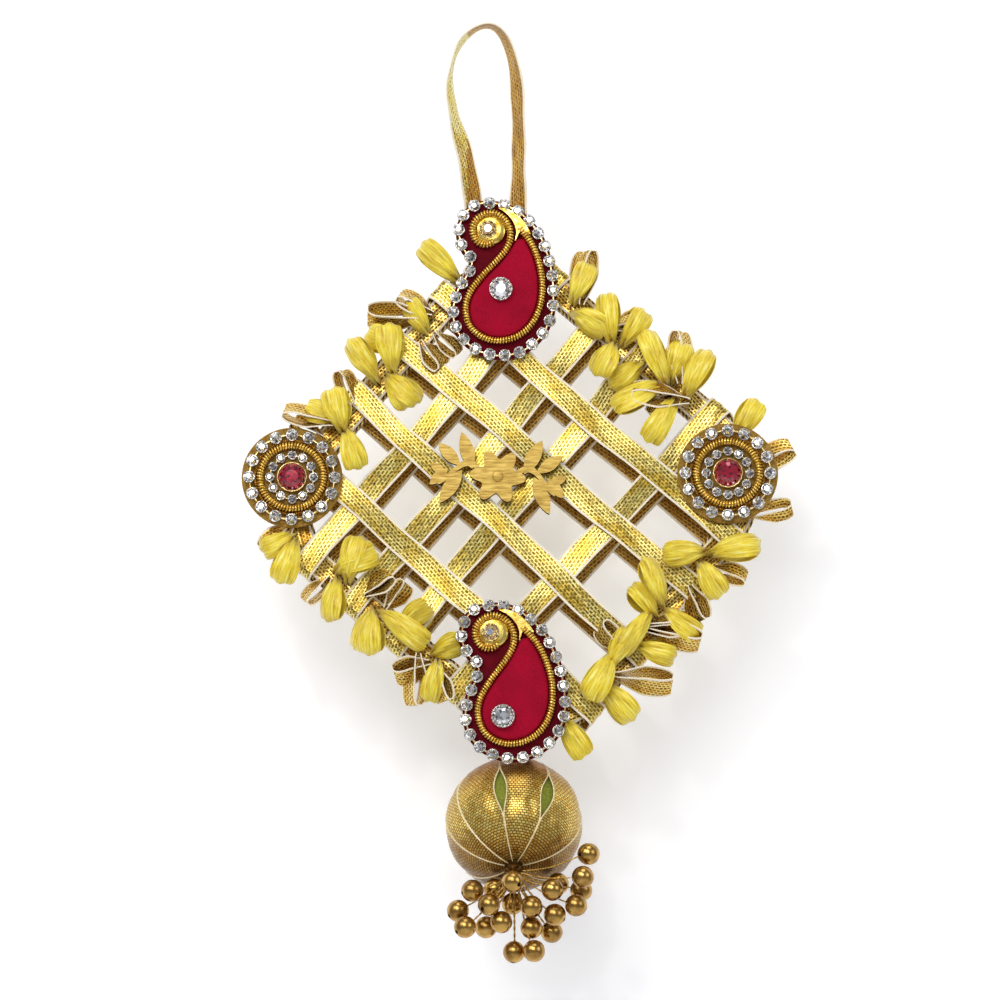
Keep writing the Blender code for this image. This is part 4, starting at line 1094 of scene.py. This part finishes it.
def sew_paisley(place, x, z, turn, stone_x, stone_z, claws, carrier):
    """One paisley patch from the back to the front."""
    node_name = place + "_paisley_"
    chain_line = turned(CHAIN_LINE, turn, x, z)
    outline = grown(smooth_line(chain_line, 88, True), 0.8)
    base = felt_plate(node_name + "felt", outline, PATCH_BACK, FELT_THICK, FELT)
    place_piece(base, "red_felt", node_name + "base")
    place_piece(cup_chain(node_name + "cup_chain", chain_line, CHAIN_STONES), "clear_stone",
                node_name + "chain")
    line = smooth_line(turned(COIL_LINE, turn, x, z), 92)
    place_piece(coil(node_name + "coiled_wire", line, SEAT + COIL_RADIUS, WIRE), "coil_gold",
                node_name + "coil")
    belly = smooth_line(turned(COIL_LINE[:BELLY_POINTS], turn, x, z), 72, True)
    outline = grown(belly, -(COIL_RADIUS + 0.1))
    tip = turned(COIL_LINE[:1], turn, x, z)[0]
    outline = [point for point in outline if (point - tip).length > 2.4]
    velvet = raised(filled(node_name + "velvet", outline, SEAT), [
        (0.55, 1), (0.2, 0.97), (0.15, 0.94), (0.12, 0.88), (0.08, 0.8), (0.06, 0.7), (0.03, 0.6),
        (0.01, 0.5)], at(x, z + 1, SEAT))
    paint(velvet, VELVET)
    smooth(velvet, 60)
    place_piece(velvet, "red_felt", node_name + "pad")
    place_piece(set_stone(node_name + "middle_stone", stone_x, stone_z, SEAT + 1.5, 5.0, 2.0, 10, claws,
                          CLEAR, SILVER, 0.36), "clear_stone", node_name + "centre_stone")
    fills = []
    for fill_outline, rings in ((circle(-3.2, 17.9, 3.7, 24), [(0.5, 1), (0.25, 0.9), (0.1, 0.7)]),
                                (smooth_line(TIP_FILL, 44, True), [(1.3, 1), (0.15, 0.97)])):
        fill = raised(filled("gold_fill", turned(fill_outline, turn, x, z), SEAT), rings)
        paint(fill, GOLD_CLOTH)
        smooth(fill, 60)
        fills.append(fill)
    place_piece(join(node_name + "gold_fill", fills), "coil_gold")
    head = turned([(-3.9, 17.9)], turn, x, z)[0]
    place_piece(set_stone(node_name + "eye_stone", head.x, head.y, SEAT, 3.8, 2.6, 10, 8,
                          CLEAR, CLAW, 0.3), "clear_stone", node_name + "head_stone")


for place, row in PAISLEYS.items():
    sew_paisley(place, *row)

# %% [markdown]
# ## The rounds
# Each side corner carries a round patch: a ring of cup chain, a coil, a ring of smaller stones
# and a red gem that stands up in a plain ring setting without claws. They are the same parts on
# circles, so the makers above serve again.

# %% Sew the two rounds
ROUNDS = {"left": (-46.6, -110.4, "strand_over_4"), "right": (57.1, -109.4, "strand_over_1")}


def sew_round(place, x, z, carrier):
    """One round patch from the back to the front."""
    node_name = place + "_round_"
    outline = circle(x, z, 12.0, 64)
    base = felt_plate(node_name + "backing", outline, PATCH_BACK, FELT_THICK, BACKING)
    place_piece(base, "gold_ribbon", node_name + "base")
    place_piece(cup_chain(node_name + "cup_chain", circle(x, z, 10.1, 32), 16), "clear_stone",
                node_name + "outer_stones")
    place_piece(cup_chain(node_name + "seed_chain", circle(x, z, 5.2, 24), 12, 0.78), "clear_stone",
                node_name + "inner_stones")
    place_piece(coil(node_name + "coiled_wire", circle(x, z, 7.55, 48), SEAT + COIL_RADIUS, WIRE,
                     closed=True), "coil_gold", node_name + "coil")
    place_piece(coil(node_name + "thread_ring", circle(x, z, 8.75, 48), PATCH_BACK + FELT_THICK + 0.35,
                     BROWN_WIRE, closed=True, core=0.4, gauge=0.2, pitch=0.42), "coil_gold")
    place_piece(set_stone(node_name + "red_stone", x, z, SEAT, 6.6, 2.8, 14, 0, GEM, CLAW),
                "red_gem", node_name + "gem")


BACKING = fibre_cloth("backing_cloth", tone(120, 84, 22), tone(190, 150, 70), 2.0, 0.2, 0.08)
BROWN_WIRE = worn_metal("brown_gold_thread", tone(120, 76, 20), tone(200, 146, 58), 0.35, 1.4)
for place, row in ROUNDS.items():
    sew_round(place, *row)

discard(CHAIN_STONE, CHAIN_CUP, CHAIN_LINK)

# %% [markdown]
# ## The cut-out ornament
# A flat motif of thin board sits on the crossing of the ribbons. Here it is a six-petalled flower
# between two leafy scrolls. Each outline is cut as a plate, and the plates are joined in one by a
# Boolean union, as a fret saw would leave them. The face is gold; the sawn edge is dark.

# %% Cut the ornament
ORNAMENT_X, ORNAMENT_Z, ORNAMENT_TURN = 2.4, -109.9, -6.0
ORNAMENT_BACK, ORNAMENT_FRONT = 5.1, 7.5
LEAVES = [
    # root x and z, heading, length, width, for the right hand; the left one mirrors it
    (6.2, 0.8, 68, 9.2, 3.4), (9.2, 1.4, 40, 7.4, 3.0), (8.6, 0.4, -62, 9.6, 3.4),
    (12.0, 0.4, -48, 5.8, 2.6), (12.6, -0.6, 24, 4.0, 2.2)]


def leaf(root_x, root_z, heading, length, width):
    """Outline of a pointed leaf from its root."""
    ahead = Vector((math.cos(math.radians(heading)), math.sin(math.radians(heading))))
    aside = Vector((-ahead.y, ahead.x))
    points = []
    for hand in (1, -1):
        for step in range(12):
            part = step / 12 if hand > 0 else 1 - step / 12
            swell = hand * width / 2 * math.sin(math.pi * part) ** 0.8
            points.append(Vector((root_x, root_z)) + ahead * (length * part) + aside * swell)
    return points


def flower(inner, lobe, steps):
    """A six-petalled outline."""
    points = []
    for step in range(steps):
        angle = 2 * math.pi * step / steps
        radius = inner + lobe * math.cos(6 * angle)
        points.append((radius * math.cos(angle), radius * math.sin(angle) - 0.3))
    return points


outlines = [flower(5.4, 1.3, 72)]
for hand in (1, -1):
    stem = []
    for edge in (0.8, -0.8):
        row = []
        for step in range(19):
            run = 3.0 + 11.0 * step / 18
            row.append((hand * run, 2.6 * math.sin(run * 0.42 - 1.4) + edge - 0.4))
        stem += row[::1 if edge > 0 else -1]
    outlines.append(stem)
    for row in LEAVES:
        outlines.append([(hand * point.x, point.y) for point in leaf(*row)])
plates = []
for index, outline in enumerate(outlines):
    trim = 0.01 * index
    placed = turned(outline, ORNAMENT_TURN, ORNAMENT_X, ORNAMENT_Z)
    plates.append(raised(filled("cut_%02d" % index, placed, ORNAMENT_BACK + trim),
                         [(ORNAMENT_FRONT - ORNAMENT_BACK - 2 * trim, 1)]))
ornament = plates[0]
ornament.name = "centre_cut_out"
for other in plates[1:]:
    union = ornament.modifiers.new("joined", "BOOLEAN")
    union.operation = "UNION"
    union.solver = "EXACT"
    union.object = other
apply_all(ornament)
discard(*plates[1:])
paint(ornament, ORNAMENT_FACE, ORNAMENT_EDGE)
for face in ornament.data.polygons:
    face.material_index = 0 if abs(face.normal.y) > 0.7 else 1
place_piece(ornament, "ornament_gold", "centre_ornament")

# %% The flower's heart
heart_outline = turned(circle(0, -0.3, 1.5, 8), ORNAMENT_TURN, ORNAMENT_X, ORNAMENT_Z)
heart = raised(filled("centre_flower_heart", heart_outline, ORNAMENT_FRONT - 0.1),
               [(0.35, 1), (0.2, 0.8), (0.1, 0.6)])
paint(heart, ORNAMENT_FACE)
round_heart = heart.modifiers.new("rounder", "SUBSURF")
round_heart.levels = round_heart.render_levels = 2
apply_all(heart)
smooth(heart)
place_piece(heart, "ornament_gold")

# %% [markdown]
# ## The hanging ribbon
# One more length of the same gold ribbon goes up from behind the top patch, over its highest
# point and down again, half twisted on the way. The left limb shows its face in a brighter copy of
# the gold finish, a painted highlight, and past the top the back comes to the front, duller and
# darker with painted shade. Each station has a turn of its own, so the twist can be put just where
# it shows.

# %% Hang the ribbon
HANG_STATIONS = [
    # x, z, forward, turn of the face from the front in degrees
    (-1.4, -62.6, 4.4, 0), (-1.8, -56.6, 4.4, 2), (-2.6, -50.0, 2.8, 20), (-3.4, -44.0, 1.4, 40),
    (-5.4, -32.0, 0.8, 46), (-8.2, -21.5, 0.4, 62), (-9.2, -13.5, 0.2, 78), (-7.6, -5.6, 0.1, 84),
    (-4.2, -1.2, 0.0, 86), (-0.2, 0.5, 0.0, 86), (3.0, -1.2, 0.0, 80), (5.4, -6.0, 0.1, 70),
    (6.8, -13.0, 0.2, 60), (7.3, -22.0, 0.4, 58), (7.4, -32.0, 0.8, 56), (7.2, -44.0, 1.4, 46),
    (6.9, -50.0, 2.8, 22), (6.7, -56.6, 4.4, 2), (6.5, -62.6, 4.4, 0)]


def hang(name, rows, finishes):
    """A twisted ribbon through rows of x, y, z and turn."""
    stations = []
    for index, (x, y, z, turn) in enumerate(rows):
        after, before = rows[min(index + 1, len(rows) - 1)], rows[max(index - 1, 0)]
        ahead = (Vector(after[:3]) - Vector(before[:3])).normalized()
        aside = ahead.cross(Vector((0, -1, 0))).normalized()
        depth = ahead.cross(aside).normalized()
        lean = math.radians(turn) + 0.05 * math.sin(0.6 * index)
        across = aside * math.cos(lean) + depth * math.sin(lean)
        place = Vector((x, y, z))
        stations.append((place - across * RIBBON / 2, place + across * RIBBON / 2))
    return ribbon(name, stations, RIBBON_CLOTH, finishes, crease=0.16, seed=2.0)


rows = smooth_line([(x, -forward, z, turn) for x, z, forward, turn in HANG_STATIONS], 110)
hanging = hang("hanging_ribbon", rows, (WOVEN_PAINTED_HIGHLIGHT, WOVEN_BACK_AND_SHADE, CREAM))
# right of the top the face and back swap, so the front shows the back finish with its painted shade
for face in hanging.data.polygons:
    if face.center.x > -5.0 * MM and face.center.z > -0.05 or face.center.x > 3 * MM:
        face.material_index = {0: 1, 1: 0}.get(face.material_index, face.material_index)
place_piece(hanging, "gold_ribbon", "hang_loop")

TIE_STATIONS = [(11.4, -168.0, -2.4), (10.6, -171.5, -2.6), (9.2, -174.4, -3.4), (7.6, -175.4, -4.8)]
across = Vector((1, 0, 0.15)).normalized() * 2
stations = []
for x, y, z in smooth_line([(x, -forward, z) for x, z, forward in TIE_STATIONS], 14):
    stations.append((Vector((x, y, z)) - across, Vector((x, y, z)) + across))
# the tie shows the back finish, with its painted shade, on both sides
place_piece(ribbon("ball_tie_ribbon", stations, 0.4, (WOVEN_BACK_AND_SHADE, WOVEN_BACK_AND_SHADE, CREAM), crease=0.15),
            "gold_ribbon", "ball_tie")

# %% [markdown]
# ## The covered ball
# A ball is wrapped in lengths of gold tissue that all run from the gather at its lower front to
# the opposite end. Each length is a gore: a ribbon whose points are put on the ball by a rule.
# Two of the seams gape a little, and the olive lining shows through them as slim slits. Seams drawn
# on one sphere would be quicker, but they could not gape.

# %% Wrap the ball
BALL = Vector((6.2, 4.4, -192.2))
BALL_RADIUS, BALL_LENGTH, BALL_TILT = 16.0, 15.2, math.radians(-46)
BALL_TURN = Matrix.Rotation(BALL_TILT, 3, "X")
SEAMS = [-84, -56, -12, 31, 84, 135, 182, 229, 276]
SLITS = {-12: 5.4, 31: 6.0}
GORE_ROWS = 40
GORE_ACROSS = (0.0, 0.022, 0.2, 0.35, 0.5, 0.65, 0.8, 0.978, 1.0)


def on_ball(polar, azimuth, lift=0.0):
    """A place on the ball by its angle from the gather and round it, in degrees."""
    polar, azimuth = math.radians(polar), math.radians(azimuth)
    round_axis = Vector((math.sin(azimuth) * math.sin(polar), -math.cos(azimuth) * math.sin(polar),
                         -math.cos(polar)))
    spot = Vector((round_axis.x * BALL_RADIUS, round_axis.y * BALL_RADIUS, round_axis.z * BALL_LENGTH))
    return BALL + BALL_TURN @ (spot * (1 + lift / BALL_RADIUS))


def gape(seam, polar):
    """Half of a seam's opening, in degrees round the ball."""
    if seam not in SLITS or not 48 < polar < 96:
        return 0.0
    return SLITS[seam] * math.sin(math.pi * (polar - 48) / 48) ** 1.2


gores = []
for first, last in zip(SEAMS, SEAMS[1:]):
    def on_gore(row, share, first=first, last=last):
        polar = 5 + 170 * row / (GORE_ROWS - 1)
        start, end = first + gape(first, polar), last - gape(last, polar)
        lift = 0.08 * share + 0.22 * math.sin(math.pi * share) + (0.16 if share in (0, 1) else 0)
        lift += 0.12 * math.sin(0.9 * first + 9 * share) * math.sin(math.radians(polar))
        return on_ball(polar, start + (end - start) * share, lift)

    stations = [(on_gore(row, 0), on_gore(row, 1)) for row in range(GORE_ROWS)]
    gores.append(ribbon("gore", stations, 0.22, (TISSUE, TISSUE, PALE_EDGE), onto=on_gore, flip=True,
                        across=GORE_ACROSS))
place_piece(join("ball_cover", gores), "ball_tissue", "ball")
set_down()
bpy.ops.mesh.primitive_uv_sphere_add(segments=48, ring_count=24, radius=(BALL_RADIUS - 0.5) * MM)
lining = bpy.context.object
lining.name = "ball_lining"
bpy.ops.transform.resize(value=(1, 1, BALL_LENGTH / BALL_RADIUS))
lining.rotation_euler = (BALL_TILT, 0, 0)
lining.location = BALL * MM
apply_all(lining)
paint(lining, LINING)
smooth(lining)
place_piece(lining, "ball_tissue")

# %% [markdown]
# ## The bunch of beads
# Twisted gold threads leave the gather and each ends in a bead. One bead is modelled: a sphere
# whose two poles are pressed in to make the mouths of its hole. It is copied along the table, its
# hole in line with its thread. An array would set them too evenly for a bunch that hangs as it fell.

# %% Gather, threads and beads
KNOT = BALL + BALL_TURN @ Vector((0, 0, -(BALL_LENGTH + 0.3 + 1.7)))
BEAD_RADIUS = 2.65
MOUTH_FROM = 0.975                        # share of the radius where a hole's mouth begins
MOUTH_STEPS = ((0.8, 0.05), (0.75, 0.9))  # share of its size, and how far it is pressed in
BEADS = [
    # x, z, y
    (23.8, -200.0, -7.0), (22.4, -205.6, -10.6), (22.1, -208.4, -4.4), (16.6, -206.8, -2.4),
    (20.8, -212.2, -9.2), (15.2, -208.6, -10.6), (10.3, -212.6, -11.4), (15.8, -214.4, -9.0),
    (15.1, -218.2, -3.6), (10.3, -217.4, -7.4), (10.9, -222.9, -8.8), (6.2, -223.0, -5.6),
    (3.2, -216.2, -10.6), (0.3, -212.2, -12.6), (5.9, -206.9, -14.4), (-3.6, -208.8, -10.0),
    (-7.0, -213.4, -7.6), (-5.3, -217.4, -11.8), (-0.4, -217.2, -6.0), (5.9, -211.6, -4.6),
    (1.6, -208.2, -4.8)]

set_down()
bpy.ops.mesh.primitive_uv_sphere_add(segments=24, ring_count=16, radius=BEAD_RADIUS * MM)
BEAD_MODEL = bpy.context.object
# the mouths of the hole take the second finish, painted shade
paint(BEAD_MODEL, BEAD, HOLE_PAINTED_SHADE)
for end in (1, -1):
    mouth = [face.index for face in BEAD_MODEL.data.polygons
             if face.center.z * end > MOUTH_FROM * BEAD_RADIUS * MM]
    for share, press in MOUTH_STEPS:
        bpy.ops.object.mode_set(mode="EDIT")
        bpy.ops.mesh.select_mode(type="FACE")
        bpy.ops.mesh.select_all(action="DESELECT")
        bpy.ops.object.mode_set(mode="OBJECT")
        for index in mouth:
            BEAD_MODEL.data.polygons[index].select = True
            BEAD_MODEL.data.polygons[index].material_index = 1
        bpy.ops.object.mode_set(mode="EDIT")
        bpy.ops.mesh.extrude_region_move(TRANSFORM_OT_translate={"value": (0, 0, -end * press * MM)})
        bpy.ops.transform.resize(value=(share, share, 0.3),
                                 center_override=(0, 0, end * (BEAD_RADIUS - press) * MM))
        bpy.ops.object.mode_set(mode="OBJECT")
smooth(BEAD_MODEL, 50)


def twisted_thread(start, end, sag, seed):
    """Two fine strands twisted on each other, in a shallow curve."""
    middle = (start + end) / 2 + Vector((0, -0.3, -sag))
    fine = smooth_line([tuple(start), tuple(middle), tuple(end)], 40)
    strands = []
    for half in (0, math.pi):
        places = []
        for index, spot in enumerate(fine):
            angle = 0.9 * index + half + seed
            places.append((Vector(spot) + Vector((math.cos(angle), math.sin(angle), 0)) * 0.13) * MM)
        strands.append(wire("strand", places, 0.15, THREAD))
    return strands


beads, threads = [], []
for index, (x, z, y) in enumerate(BEADS):
    spot = Vector((x, y, z))
    ahead = (spot - KNOT).normalized()
    lean = (ahead + Vector((chance.uniform(-0.5, 0.5), chance.uniform(-0.5, 0.5),
                            chance.uniform(-0.4, 0.4)))).normalized()
    facing = lean.to_track_quat("Z", "Y").to_matrix().to_4x4()
    beads.append(copy_to(BEAD_MODEL, Matrix.Translation(spot * MM) @ facing))
    threads += twisted_thread(KNOT, spot - lean * (BEAD_RADIUS - 1.2), 0.7 + 0.5 * chance.random(), index)
discard(BEAD_MODEL)
place_piece(join("beads", beads), "bead_gold", "bead_tassel")
place_piece(join("bead_threads", threads), "bead_gold", "bead_tassel")

GATHER_RADIUS = 2.1
set_down()
bpy.ops.mesh.primitive_uv_sphere_add(segments=36, ring_count=18, radius=GATHER_RADIUS * MM)
gather = bpy.context.object
gather.name = "ball_gather"
for vertex in gather.data.vertices:
    angle = math.atan2(vertex.co.y, vertex.co.x)
    pleat = 1 + 0.16 * math.cos(9 * angle)
    flare = 1.0 - 0.25 * vertex.co.z / (GATHER_RADIUS * MM)
    vertex.co.x *= pleat * flare
    vertex.co.y *= pleat * flare
gather.rotation_euler = (BALL_TILT, 0, 0)
gather.location = (KNOT - (KNOT - BALL).normalized() * 1.0) * MM
apply_all(gather)
paint(gather, GATHER_PAINTED_SHADE)
smooth(gather)
place_piece(gather, "bead_gold", "bead_tassel")
